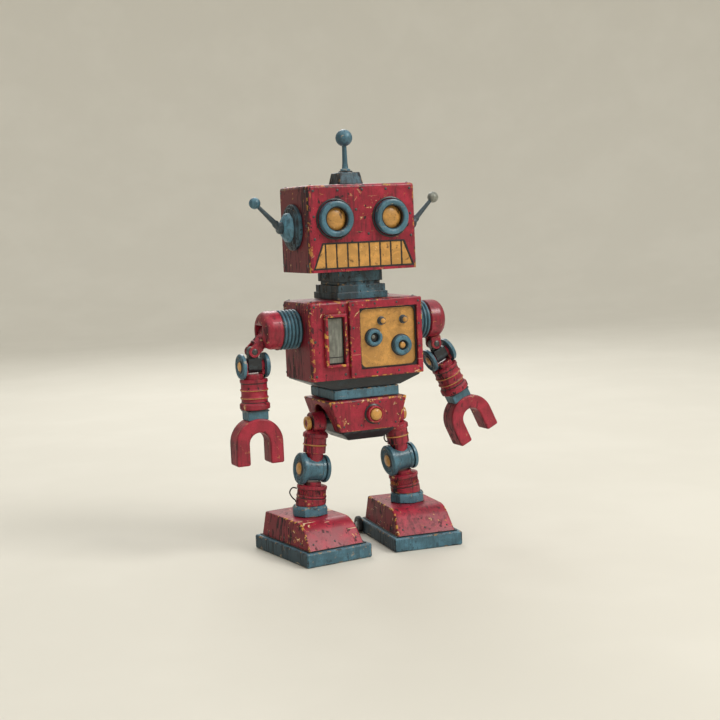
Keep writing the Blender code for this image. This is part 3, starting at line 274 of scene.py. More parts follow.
def worn_enamel(name, bright, deep, streaks, chips, edge, scratches, shade, gloss=0.3, seed=0.0):
    """Enamel that has darkened in patches, run with black streaks, chipped through to primer and metal, and
    painted darker on its sides and back as painted shade.
    """
    f = Finish(name)
    own = paint()
    wear, dirt = own.wear, own.dirt
    shift = (seed, 2 * seed, 3 * seed)
    patch = f.noise(75, 4, shift=shift, swirl=0.6)
    brushed = f.noise(1, 3, stretch=(330, 330, 90), shift=shift)
    grain = f.noise(1150, 2, shift=shift)
    colour = f.mix(patch.above(0.38, 0.66), deep, bright)
    colour = f.mix(brushed.above(0.52, 0.75) * 0.35, colour, times(bright, 1.25))
    colour = f.mix(grain.above(0.45, 0.72) * 0.45, colour, times(deep, 0.6))

    # Painted shade: faces turned to the sides or back are mixed, by the amount shade, towards a deeper copy
    # of the enamel (shadow).
    sideways = abs(f.axis(f.facing, "X")).above(0.45, 0.8)
    backwards = f.axis(f.facing, "Y").above(0.45, 0.8)
    turned_away = sideways.at_least(backwards)
    shadow = tuple(0.42 * part**1.25 for part in deep)
    colour = f.mix(turned_away * shade, colour, shadow)

    # Black streaks of grime, laid heavier on the sides and back so that they also darken those faces as
    # painted shade.
    run = f.noise(1, 4, stretch=(480, 480, 38), shift=shift, swirl=0.3).above(0.49, 0.58)
    area = f.noise(34, 2, shift=shift).above(0.4, 0.54)
    soot_and_shade = run * area * (turned_away * 0.65 + 0.35) * (streaks * dirt)
    dab = f.noise(240, 2, stretch=(1, 1, 0.6), shift=shift).above(0.63, 0.68) * (0.75 * streaks * dirt)
    soot_and_shade = soot_and_shade.at_least(dab).at_most(1.0)
    colour = f.mix(soot_and_shade, colour, own.grime)

    corner = f.edges()
    onset = 0.59 - 0.055 * edge
    rubbed = corner * f.noise(230, 3, shift=shift).above(onset, onset + 0.06) * (edge * wear)
    inked = corner * f.noise(210, 3, shift=(seed + 4, seed, seed)).above(0.54, 0.6) * dirt
    colour = f.mix(inked * 0.8, colour, own.grime)
    spots = f.noise(270, 3, shift=shift, swirl=0.8)
    flaked = f.noise(48, 2, shift=shift).above(0.46, 0.6)
    chip = spots.above(0.635, 0.65) * flaked * (chips * wear)
    core = spots.above(0.665, 0.685)
    hair = f.noise(1, 1, stretch=(45, 45, 1500), shift=shift, turn=(20, 58, 10)).above(0.735, 0.75)
    hair = hair * f.noise(30, 1, shift=shift).above(0.5, 0.58) * (scratches * wear)
    bare = chip.at_least(rubbed).at_least(hair).at_most(1.0)
    primer = f.mix(core.at_least(hair), own.gold, own.cream)
    primer = f.mix(grain.above(0.5, 0.7) * 0.5, primer, times(own.gold, 0.4))
    colour = f.mix(bare, colour, primer)

    rough = 0.3 + patch * 0.22 + bare * 0.3 + soot_and_shade * 0.25 + turned_away * 0.15
    height = grain * 0.12 - bare * 0.8 + f.noise(420, 2, shift=shift) * 0.3
    coat = (1 - bare.at_least(soot_and_shade)) * (1 - turned_away * 0.7) * (0.6 * gloss)
    return f.set(colour, rough, 0.0, coat, f.bump(height, 0.12 * MM, 0.55), specular=0.4)


def dabbed_dark(name, base, lift, seed, shine=0.5, scuffs=0.5):
    """Blue-black finish with brushed dabs of a lighter tone and rubbed edges."""
    f = Finish(name)
    shift = (seed, seed, -seed)
    dab = f.noise(1, 3, stretch=(140, 140, 420), shift=shift, swirl=0.5).above(0.52, 0.64)
    grain = f.noise(900, 2, shift=shift)
    colour = f.mix(dab * 0.6, base, lift)
    colour = f.mix(grain.above(0.5, 0.7) * 0.5, colour, times(base, 0.4))
    rub = f.edges() * f.noise(300, 2, shift=shift).above(0.42, 0.55) * scuffs
    colour = f.mix(rub, colour, times(lift, 2.2))
    height = grain * 0.3 + dab * 0.4
    return f.set(
        colour, 0.42 + dab * 0.2, 0.0, (1 - rub) * 0.15, f.bump(height, 0.1 * MM, 0.4), specular=shine
    )


def scuffed_amber(name, seed, soiled, scribble=0.0):
    """Amber enamel or moulding with brown dirt and pale rubbed spots."""
    f = Finish(name)
    own = paint()
    amber = tuple(own.amber)
    shift = (seed, seed, seed)
    patch = f.noise(110, 4, shift=shift, swirl=1.0)
    grain = f.noise(1300, 2, shift=shift)
    colour = f.mix(patch.above(0.4, 0.65), times(amber, 0.72), amber)
    colour = f.mix(grain.above(0.48, 0.7) * 0.4, colour, times(amber, 0.5))
    dirt = f.noise(230, 4, shift=shift, swirl=0.6).above(0.6, 0.68) * soiled
    colour = f.mix(dirt, colour, (0.1, 0.042, 0.014))
    rub = f.edges() * f.noise(260, 3, shift=shift).above(0.4, 0.6)
    colour = f.mix(rub * 0.75, colour, (0.06, 0.028, 0.012))
    if scribble:
        ink = f.noise(1, 3, stretch=(460, 460, 130), shift=shift, swirl=0.8).above(0.6, 0.66) * scribble
        colour = f.mix(ink, colour, (0.06, 0.025, 0.01))
    worn = f.noise(340, 2, shift=shift).above(0.7, 0.73) * 0.6
    colour = f.mix(worn, colour, (0.85, 0.62, 0.3))
    height = grain * 0.2 - dirt * 0.5
    return f.set(
        colour, 0.34 + patch * 0.2 + dirt * 0.3, 0.0, (1 - dirt) * 0.3, f.bump(height, 0.1 * MM, 0.45)
    )


def brushed_metal(name, tone, seed, metallic, stretch=(500, 500, 30)):
    """Dull metal with fine strokes and grey tarnish."""
    f = Finish(name)
    shift = (seed, seed, seed)
    stroke = f.noise(1, 3, stretch=stretch, shift=shift)
    tarnish = f.noise(120, 4, shift=shift, swirl=0.8).above(0.45, 0.7)
    colour = f.mix(stroke.above(0.35, 0.7), times(tone, 0.6), times(tone, 1.25))
    colour = f.mix(tarnish * 0.6, colour, times(tone, 0.42))
    rub = f.edges(0.6 * MM)
    colour = f.mix(rub * 0.5, colour, times(tone, 1.9))
    normal = f.bump(stroke, 0.06 * MM, 0.35)
    return f.set(colour, 0.3 + stroke * 0.2 + tarnish * 0.2, metallic, 0.0, normal)


def rubber(name, tone):
    """Dull black with dust on it."""
    f = Finish(name)
    grain = f.noise(800, 3)
    dust = f.noise(90, 3).above(0.5, 0.7)
    colour = f.mix(dust * 0.35, tone, (0.075, 0.07, 0.062))
    colour = f.mix(grain.above(0.5, 0.7) * 0.4, colour, times(tone, 0.5))
    return f.set(colour, 0.55 + dust * 0.25, 0.0, 0.0, f.bump(grain, 0.08 * MM, 0.4))


FINISHES = {}


def mix_finishes():
    """Make every finish once, from the paint settings."""
    own = paint()
    red, blue = tuple(own.red), tuple(own.blue)
    deep_red, deep_blue = times(red, 0.62), times(blue, 0.62)
    navy = (0.026, 0.045, 0.058)
    # In each worn_enamel below, shade sets how much darker the sides and back are painted, as painted
    # shade; streaks sets the black streaks, which are heavier there and partly painted shade too.
    FINISHES.update(
        red_box=worn_enamel("red_tin_enamel", red, deep_red, 1.3, 0.75, 0.6, 0.5, 0.85, seed=0.13),
        red_torso=worn_enamel("red_torso_enamel", red, deep_red, 1.0, 0.8, 0.6, 0.45, 0.6, seed=0.57),
        red_face=worn_enamel("red_front_enamel", red, deep_red, 0.35, 0.8, 1.0, 0.8, 0.5, seed=0.31),
        red_pelvis=worn_enamel("red_pelvis_enamel", red, deep_red, 0.7, 1.0, 1.2, 0.6, 0.45, seed=0.77),
        red_foot=worn_enamel("red_foot_enamel", red, deep_red, 1.0, 1.0, 1.1, 1.0, 0.65, 0.1, seed=0.93),
        red_limb=worn_enamel("red_limb_enamel", red, deep_red, 1.15, 0.8, 0.6, 0.6, 0.35, 0.4, seed=0.21),
        red_claw=worn_enamel("red_claw_enamel", red, deep_red, 0.8, 0.55, 0.5, 0.4, 0.5, 0.45, seed=0.41),
        blue=worn_enamel("blue_enamel", blue, deep_blue, 0.6, 0.35, 0.45, 0.5, 0.35, 0.4, seed=0.61),
        blue_sole=worn_enamel(
            "blue_sole_enamel", times(blue, 1.05), deep_blue, 0.7, 0.3, 0.5, 1.2, 0.95, seed=0.71
        ),
        blue_light=worn_enamel(
            "pale_blue_enamel", times(blue, 1.6), blue, 0.5, 0.4, 0.5, 0.3, 0.2, 0.5, seed=0.81
        ),
        blue_dark=worn_enamel(
            "blue_black_enamel", times(blue, 0.75), navy, 1.2, 0.25, 0.4, 0.5, 0.6, seed=0.91
        ),
        navy=dabbed_dark("navy_enamel", navy, (0.05, 0.095, 0.125), 0.15, scuffs=0.6),
        # Near-black for plain black parts; on the torso skirt it is painted shade of the torso's underside.
        dark=dabbed_dark("black_enamel_and_painted_shade", (0.012, 0.015, 0.019), (0.028, 0.043, 0.053), 0.45, scuffs=0.35),
        line=dabbed_dark("black_line", (0.008, 0.008, 0.01), (0.018, 0.02, 0.024), 0.65, scuffs=0.1),
        rivet=dabbed_dark(
            "rivet_black", (0.011, 0.01, 0.012), (0.03, 0.03, 0.034), 0.85, shine=1.0, scuffs=0.0
        ),
        amber=scuffed_amber("amber_enamel", 0.2, 0.35),
        teeth=scuffed_amber("amber_teeth", 0.5, 0.8),
        glass=scuffed_amber("amber_lens", 0.7, 0.5, scribble=0.9),
        knob=scuffed_amber("amber_knob", 0.9, 0.3),
        silver=brushed_metal("window_silver", (0.26, 0.27, 0.235), 0.3, 0.35, (300, 300, 40)),
        steel=brushed_metal("axle_steel", (0.5, 0.53, 0.54), 0.6, 0.8),
        rubber=rubber("roller_rubber", (0.014, 0.015, 0.017)),
        wire=rubber("wire_black", (0.01, 0.01, 0.011)),
    )


# ------------------------------------------------------------------ making pieces
def settle(bm, name, finish, body, replaced=(), smooth=38):
    """Turn a bmesh into a finished piece that rides on a body."""
    bmesh.ops.remove_doubles(bm, verts=bm.verts, dist=WELD)
    bmesh.ops.recalc_face_normals(bm, faces=bm.faces)
    mesh = bpy.data.meshes.new(name)
    bm.to_mesh(mesh)
    bm.free()
    return finished(mesh, name, finish, body, replaced, smooth)


def mark_roundings(mesh):
    """Give the narrow faces that round an edge the value 1, so that enamel can wear there."""
    bm = bmesh.new()
    bm.from_mesh(mesh)
    layer = bm.faces.layers.float.new("rounding")
    turned, narrow = math.radians(12), 2.0 * MM
    for face in bm.faces:
        bent = [edge for edge in face.edges if edge.is_manifold and edge.calc_face_angle(0) > turned]
        longest = max(edge.calc_length() for edge in face.edges)
        width = face.calc_area() / longest if longest else 0.0
        face[layer] = 1.0 if len(bent) > 1 and width < narrow else 0.0
    bm.to_mesh(mesh)
    bm.free()


def finished(mesh, name, finish, body, replaced=(), smooth=38):
    """Shade a mesh, give it its finish and let it ride on a body."""
    mesh.shade_smooth()
    mesh.set_sharp_from_angle(angle=math.radians(smooth))
    mesh.materials.clear()
    mesh.materials.append(FINISHES[finish])
    obj = bpy.data.objects.new(name, mesh)
    bpy.context.scene.collection.objects.link(obj)
    weighted = obj.modifiers.new("weighted", "WEIGHTED_NORMAL")
    weighted.keep_sharp = True
    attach(obj, body)
    if replaced:
        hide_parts(*replaced)
    return obj


def soften(bm, width, angle=35, segments=2):
    """Round every sharp edge of a bmesh."""
    limit = math.radians(angle)
    sharp = [edge for edge in bm.edges if edge.is_manifold and edge.calc_face_angle(0) > limit]
    bmesh.ops.bevel(
        bm,
        geom=sharp,
        offset=width,
        offset_type="OFFSET",
        affect="EDGES",
        segments=segments,
        profile=0.5,
        material=-1,
        clamp_overlap=True,
    )


def refined(node, finish, body, name=None, width=0.0, angle=35, smooth=38, segments=2):
    """A copy of a frame node with its triangles joined, its flats made whole and its edges rounded."""
    bm = bmesh.new()
    bm.from_mesh(frame["nodes"][node].data)
    bmesh.ops.remove_doubles(bm, verts=bm.verts, dist=0.004 * MM)
    bmesh.ops.dissolve_limit(
        bm, angle_limit=math.radians(1.0), verts=bm.verts, edges=bm.edges, use_dissolve_boundaries=False
    )
    if width:
        soften(bm, width, angle, segments)
    bmesh.ops.dissolve_degenerate(bm, dist=WELD, edges=bm.edges)
    mesh = bpy.data.meshes.new(name or node)
    bm.to_mesh(mesh)
    bm.free()
    mark_roundings(mesh)
    return finished(mesh, name or f"{node}_skin", finish, body, (node,), smooth)


def limb(top, bottom, origin=None):
    """Axes of a limb that hangs from top towards bottom: z points back up it and y stays world y."""
    up = (Vector(top) - Vector(bottom)).normalized()
    across = BACK.cross(up).normalized()
    turn = Matrix((across, BACK, up)).transposed().to_4x4()
    return Matrix.Translation(origin or top) @ turn


def along(origin, direction):
    """Axes at origin with z along direction."""
    return Matrix.Translation(origin) @ Vector(direction).to_track_quat("Z", "Y").to_matrix().to_4x4()


def spin(bm, profile, matrix, closed=False, steps=None, width=None):
    """Add a turned solid; its profile is (radius, height) pairs in millimetres."""
    steps = steps or parts().steps
    part = bmesh.new()
    verts = [part.verts.new((radius * MM, 0, height * MM)) for radius, height in profile]
    edges = [part.edges.new(pair) for pair in zip(verts, verts[1:])]
    if closed:
        edges.append(part.edges.new((verts[-1], verts[0])))
    bmesh.ops.spin(
        part,
        geom=verts + edges,
        cent=(0, 0, 0),
        axis=(0, 0, 1),
        dvec=(0, 0, 0),
        angle=math.tau,
        steps=steps,
        use_merge=True,
        use_duplicate=False,
    )
    bmesh.ops.remove_doubles(part, verts=part.verts, dist=WELD)
    bmesh.ops.recalc_face_normals(part, faces=part.faces)
    width = parts().edge if width is None else width
    if width:
        soften(part, width)
    join(bm, part, matrix)


def turned(name, profile, matrix, finish, body, slot, replaced=(), smooth=38, **how):
    """A piece that is one turned solid."""
    bm = bmesh.new()
    spin(bm, profile, matrix, **how)
    return settle(bm, name, finish, body, replaced, smooth)


def hoop(bm, matrix, inner, outer, height, half):
    """Add a thin ring with square edges."""
    top, bottom = height + half, height - half
    spin(bm, [(inner, top), (outer, top), (outer, bottom), (inner, bottom)], matrix, closed=True, width=0)


def pin(radius, half):
    """Profile of a plain rod."""
    return [(0, half), (radius, half), (radius, -half), (0, -half)]


def join(bm, part, matrix=Matrix()):
    """Move a part bmesh into place and add it to bm."""
    bmesh.ops.transform(part, matrix=matrix, verts=part.verts)
    mesh = bpy.data.meshes.new("part")
    part.to_mesh(mesh)
    part.free()
    bm.from_mesh(mesh)
    bpy.data.meshes.remove(mesh)


def bar(bm, corner, opposite, matrix=Matrix(), width=0.3 * MM, segments=2):
    """Add a block between two corners, with rounded edges."""
    part = bmesh.new()
    bmesh.ops.create_cube(part, size=1)
    corner, opposite = Vector(corner), Vector(opposite)
    span = opposite - corner
    bmesh.ops.scale(part, vec=[abs(value) for value in span], verts=part.verts)
    bmesh.ops.translate(part, vec=(corner + opposite) / 2, verts=part.verts)
    soften(part, width, segments=segments)
    join(bm, part, matrix)


def ball(radius, centre, neck, steps=14):
    """Profile of a ball down to where it meets a rod."""
    last = math.pi - math.asin(neck / radius)
    angles = [last * i / steps for i in range(steps + 1)]
    return [(radius * math.sin(angle), centre + radius * math.cos(angle)) for angle in angles]


def studs(name, body, spots, radius=None, finish="rivet", flat=0.62):
    """Rivet heads at (point, direction) spots, as one piece."""
    radius = radius or parts().rivet
    bm = bmesh.new()
    for point, direction in spots:
        head = bmesh.new()
        bmesh.ops.create_uvsphere(head, u_segments=10, v_segments=6, radius=radius)
        bmesh.ops.scale(head, vec=(1, 1, flat), verts=head.verts)
        join(bm, head, along(point, direction))
    mesh = bpy.data.meshes.new(name)
    bm.to_mesh(mesh)
    bm.free()
    return finished(mesh, name, finish, body, (), 80)


def cut(obj, solid):
    """Take a solid away from a piece for good."""
    boolean = obj.modifiers.new("cut", "BOOLEAN")
    boolean.operation = "DIFFERENCE"
    boolean.solver = "EXACT"
    boolean.object = solid
    depsgraph = bpy.context.evaluated_depsgraph_get()
    mesh = bpy.data.meshes.new_from_object(obj.evaluated_get(depsgraph))
    obj.modifiers.remove(boolean)
    old = obj.data
    obj.data = mesh
    bpy.data.meshes.remove(old)
    bpy.data.objects.remove(solid)


def scratch_solid(bm):
    """An object for cut() to take away."""
    mesh = bpy.data.meshes.new("solid")
    bmesh.ops.recalc_face_normals(bm, faces=bm.faces)
    bm.to_mesh(mesh)
    bm.free()
    solid = bpy.data.objects.new("solid", mesh)
    bpy.context.scene.collection.objects.link(solid)
    return solid


def face_row(start, end, count):
    """Points spread evenly from start to end."""
    start, end = Vector(start), Vector(end)
    return [start.lerp(end, i / (count - 1)) for i in range(count)]


# ------------------------------------------------------------------ head
class ROBOT_OT_head(bpy.types.Operator):
    """Head box, its rivets and its base"""

    bl_idname = "robot.head"
    bl_label = "Head"

    def execute(self, context):
        refined("head_shell", "red_box", "head")
        refined("head_base", "dark", "head", width=0.3 * MM)
        a, b = low("head_shell"), high("head_shell")
        inset = 4 * MM
        y = a.y
        left, right = a.x + inset, b.x - inset
        top, bottom = b.z - inset, a.z + 23 * MM
        eyes = middle("eye_bezel_right").z
        spots = [(p, FRONT) for p in face_row((left, y, top), (right, y, top), 5)]
        spots += [(Vector((left, y, z)), FRONT) for z in (eyes + 2 * MM, bottom)]
        spots += [(Vector((right, y, z)), FRONT) for z in (eyes + 2 * MM, bottom)]
        centre = middle("head_shell").x
        spots += [(Vector((centre - 5 * MM, y, eyes + 6 * MM)), FRONT)]
        spots += [(Vector((centre + 4 * MM, y, eyes - 11 * MM)), FRONT)]
        for sign in (-1, 1):
            x = a.x if sign < 0 else b.x
            for depth in (a.y + inset, b.y - inset):
                for height in (top, eyes - 4 * MM, a.z + 5 * MM):
                    spots.append((Vector((x, depth, height)), (sign, 0, 0)))
        back = [(Vector((x, b.y, z)), BACK) for x in (left, centre, right) for z in (top, a.z + 5 * MM)]
        roof = [
            (Vector((x, depth, b.z)), UP) for x in (left, right) for depth in (a.y + inset, b.y - inset)
        ]
        studs("head_rivets", "head", spots + back + roof)
        bm = bmesh.new()
        seam = a.z + 1.2 * MM
        bar(bm, (a.x + 3 * MM, b.y - 0.6 * MM, seam), (b.x - 3 * MM, b.y + 0.5 * MM, seam + 2.2 * MM))
        for x in (-0.33, 0.33):
            start = Vector((centre + x * (b.x - a.x), b.y - 0.4 * MM, a.z + 8 * MM))
            bar(bm, start, start + Vector((2 * MM, 1.0 * MM, 44 * MM)), width=0.45 * MM)
        settle(bm, "head_back_seams", "red_box", "head")
        return {"FINISHED"}


class ROBOT_OT_eyes(bpy.types.Operator):
    """Eye rings, the black rings of painted shadow round them, and amber lenses"""

    bl_idname = "robot.eyes"
    bl_label = "Eyes"

    def execute(self, context):
        wall = low("head_shell").y
        for side in SIDES:
            centre = middle(f"eye_bezel_{side}")
            centre.y = wall
            axes = along(centre, FRONT)
            ring = [
                (8.3, 3.9), (8.8, 4.7), (9.7, 5.2), (11.2, 5.2), (12.1, 4.7), (12.4, 3.9),
                (12.4, 0.3), (9.6, 0.3), (9.6, -4), (8.3, -4),
            ]
            turned(
                f"eye_ring_{side}", ring, axes, "blue", "head", "blue_moulded", (f"eye_bezel_{side}",),
                closed=True, width=0,
            )
            # A thin black bead round each eye ring: painted shadow of the ring on the face.
            turned(
                f"eye_shadow_ring_{side}",
                [(12.9, 0.05), (12.9, 0.6), (13.4, 0.9), (14.1, 0.6), (14.3, -0.2), (12.9, -0.2)], axes,
                "line", "head", "red_tin", closed=True, width=0,
            )
            turned(
                f"eye_sleeve_{side}", [(7.9, 0.1), (7.9, 4.1), (8.25, 4.1), (8.25, 0.1)], axes, "line",
                "head", "dark_moulded", closed=True, width=0,
            )
            dome = [(0, 2.6), (2, 2.52), (4, 2.25), (5.8, 1.8), (7.1, 1.2), (7.8, 0.6), (7.8, 0), (0, 0)]
            turned(
                f"eye_glass_{side}", dome, axes, "glass", "head", "amber", (f"eye_lens_{side}",), width=0
            )
        return {"FINISHED"}


class ROBOT_OT_mouth(bpy.types.Operator):
    """The plate of teeth and the black line round it"""

    bl_idname = "robot.mouth"
    bl_label = "Mouth"

    def execute(self, context):
        refined("mouth_plate", "teeth", "head", width=0.22 * MM)
        a, b = low("mouth_plate"), high("mouth_plate")
        wall = low("head_shell").y
        centre = (a.x + b.x) / 2
        lower, upper = (b.x - a.x) / 2, 30.5 * MM
        rim = 0.7 * MM
        bm = bmesh.new()
        corners = [(-lower, a.z), (lower, a.z), (upper, b.z), (-upper, b.z)]
        outer = [
            bm.verts.new((centre + x * (1 + 2 * rim / lower), wall - 0.25 * MM, z)) for x, z in corners
        ]
        for vert in outer:
            vert.co.z += rim if vert.co.z > (a.z + b.z) / 2 else -rim
        face = bm.faces.new(outer)
        bm.normal_update()
        bmesh.ops.inset_individual(bm, faces=[face], thickness=1.1 * MM, depth=0, use_even_offset=True)
        bmesh.ops.delete(bm, geom=[face], context="FACES_ONLY")
        bmesh.ops.solidify(bm, geom=bm.faces[:], thickness=0.6 * MM)
        bm.normal_update()
        shift = wall - 0.25 * MM - min(vert.co.y for vert in bm.verts)
        bmesh.ops.translate(bm, vec=(0, shift, 0), verts=bm.verts)
        settle(bm, "mouth_line", "line", "head")
        bm = bmesh.new()
        pitch = (b.x - a.x) / 9
        for i in range(1, 9):
            x = a.x + i * pitch
            bar(
                bm, (x - 0.4 * MM, wall + 0.3 * MM, a.z - 0.2 * MM),
                (x + 0.4 * MM, wall + 1.3 * MM, b.z + 0.2 * MM), width=0.1 * MM,
            )
        settle(bm, "mouth_gaps", "line", "head")
        return {"FINISHED"}


class ROBOT_OT_antennas(bpy.types.Operator):
    """Top antenna, ear dials and their rods"""

    bl_idname = "robot.antennas"
    bl_label = "Antennas and ears"

    def execute(self, context):
        refined("antenna_base", "blue_dark", "head", width=0.5 * MM, segments=3)
        foot = low("top_antenna").z
        centre = middle("top_antenna")
        axes = along((centre.x, centre.y, foot), UP)
        rod = ball(6, 24, 1.6, 20) + [(1.9, 6), (2.3, 2.6), (3.4, 2.2), (3.6, 1.8), (3.6, 0), (0, 0)]
        turned("antenna_rod", rod, axes, "blue", "head", "blue_moulded", ("top_antenna",), 50, width=0)
        turned(
            "antenna_washer", [(5.2, -0.25), (5.2, 0.5), (4.8, 0.9), (3.7, 0.9), (3.7, -0.25)], axes,
            "line", "head", "dark_moulded", closed=True, width=0,
        )
        for side, sign in SIDES.items():
            self.ear(side, sign)
        return {"FINISHED"}

    def ear(self, side, sign):
        hub = pivot(f"ear_turn_{side}")
        hub.x = low("head_shell").x if sign < 0 else high("head_shell").x
        axes = along(hub, (sign, 0, 0))
        node, body = f"ear_dial_{side}", f"ear_{side}"
        plate = [
            (0, 4.6), (9.4, 4.6), (11, 4.5), (12.2, 4.3), (13.2, 4.2), (13.8, 3.4), (15.2, 3.2), (16, 2.6),
            (16, 0.3), (3.4, 0.3), (3.4, -2.4), (0, -2.4),
        ]
        turned(f"ear_plate_{side}", plate, axes, "blue_dark", body, "blue_moulded", (node,))
        dome = [(0, 9.6), (5.4, 9.4), (7, 8.8), (9.8, 6.6), (10.8, 4.4), (0, 4.4)]
        turned(
            f"ear_dome_{side}", dome, axes, "blue_light", body, "blue_moulded", (node,), 20, steps=10,
            width=0.35 * MM,
        )
        bm = bmesh.new()
        spin(bm, [(0, 13), (3.4, 13), (4.2, 12), (4.2, 9), (0, 9)], axes, width=0.4 * MM)
        lean = math.radians(45)
        start = hub + Vector((sign * 11 * MM, 0, 0))
        rod_axes = along(start, (sign * math.sin(lean), 0, math.cos(lean)))
        shaft = [(0, 22), (1.3, 22), (1.9, 6), (2.6, 4.5), (2.6, 0), (0, 0)]
        spin(bm, shaft, rod_axes, width=0.2 * MM)
        settle(bm, f"ear_rod_{side}", "navy", body, (node,), 45)
        turned(
            f"ear_ball_{side}", ball(4, 25, 1.3, 16) + [(0, 21.2)], rod_axes,
            "blue" if sign < 0 else "silver", body, "blue_moulded", (node,), 60, width=0,
        )


# ------------------------------------------------------------------ torso
class ROBOT_OT_torso(bpy.types.Operator):
    """Torso box, neck, skirt, window and their rivets"""

    bl_idname = "robot.torso"
    bl_label = "Torso"

    def execute(self, context):
        for node, finish, slot, width in (
            ("torso_shell", "red_torso", "red_tin", 0),
            ("neck_column", "blue_dark", "blue_moulded", 0.35),
            # The skirt under the torso is near-black: painted shade of the torso's underside.
            ("torso_skirt", "dark", "dark_moulded", 0.6),
            ("window_bezel", "red_face", "red_moulded", 0.2),
            ("window_lens", "silver", "silver", 0.25),
        ):
            refined(node, finish, "torso", width=width * MM)
        a, b = low("torso_shell"), high("torso_shell")
        pane_a, pane_b = low("window_lens"), high("window_lens")
        bm = bmesh.new()
        y = pane_a.y - 0.3 * MM
        line = 0.9 * MM
        for x in (pane_a.x, pane_b.x - line):
            bar(bm, (x, y, pane_a.z), (x + line, y + MM, pane_b.z), width=0.2 * MM)
        sill = pane_a.z + 4.4 * MM
        for z, top in ((pane_b.z - line, pane_b.z), (pane_a.z, pane_a.z + line), (sill, pane_a.z + 5 * MM)):
            bar(bm, (pane_a.x, y, z), (pane_b.x, y + MM, top), width=0.2 * MM)
        settle(bm, "window_line", "line", "torso")
        inset = 3.4 * MM
        frame_left = low("control_frame").x
        spots = []
        for z in (a.z + inset, b.z - inset):
            spots += [(Vector((x, a.y, z)), FRONT) for x in (a.x + inset, frame_left - inset)]
        spots += [(Vector((a.x + inset, a.y, middle("torso_shell").z)), FRONT)]
        for sign in (-1, 1):
            x = a.x if sign < 0 else b.x
            for depth in (a.y + inset, b.y - inset):
                for height in face_row(a + Vector((0, 0, inset)), Vector((0, 0, b.z - inset)), 3):
                    spots.append((Vector((x, depth, height.z)), (sign, 0, 0)))
        for z in (a.z + inset, b.z - inset):
            spots += [
                (Vector((p.x, b.y, z)), BACK)
                for p in face_row(a + Vector((inset, 0, 0)), b - Vector((inset, 0, 0)), 6)
            ]
        roof = [
            (Vector((x, depth, b.z)), UP)
            for x in (a.x + inset, b.x - inset) for depth in (a.y + 5 * MM, b.y - 5 * MM)
        ]
        studs("torso_rivets", "torso", spots + roof)
        skirt, far = low("torso_skirt"), high("torso_skirt")
        across = [skirt.x + (i + 0.5) * (far.x - skirt.x) / 9 for i in range(9)]
        hem = [(Vector((x, skirt.y + 2.2 * MM, a.z - 1.6 * MM)), (0, -1, -0.6)) for x in across]
        studs("skirt_rivets", "torso", hem, 0.5 * MM, "steel")
        return {"FINISHED"}


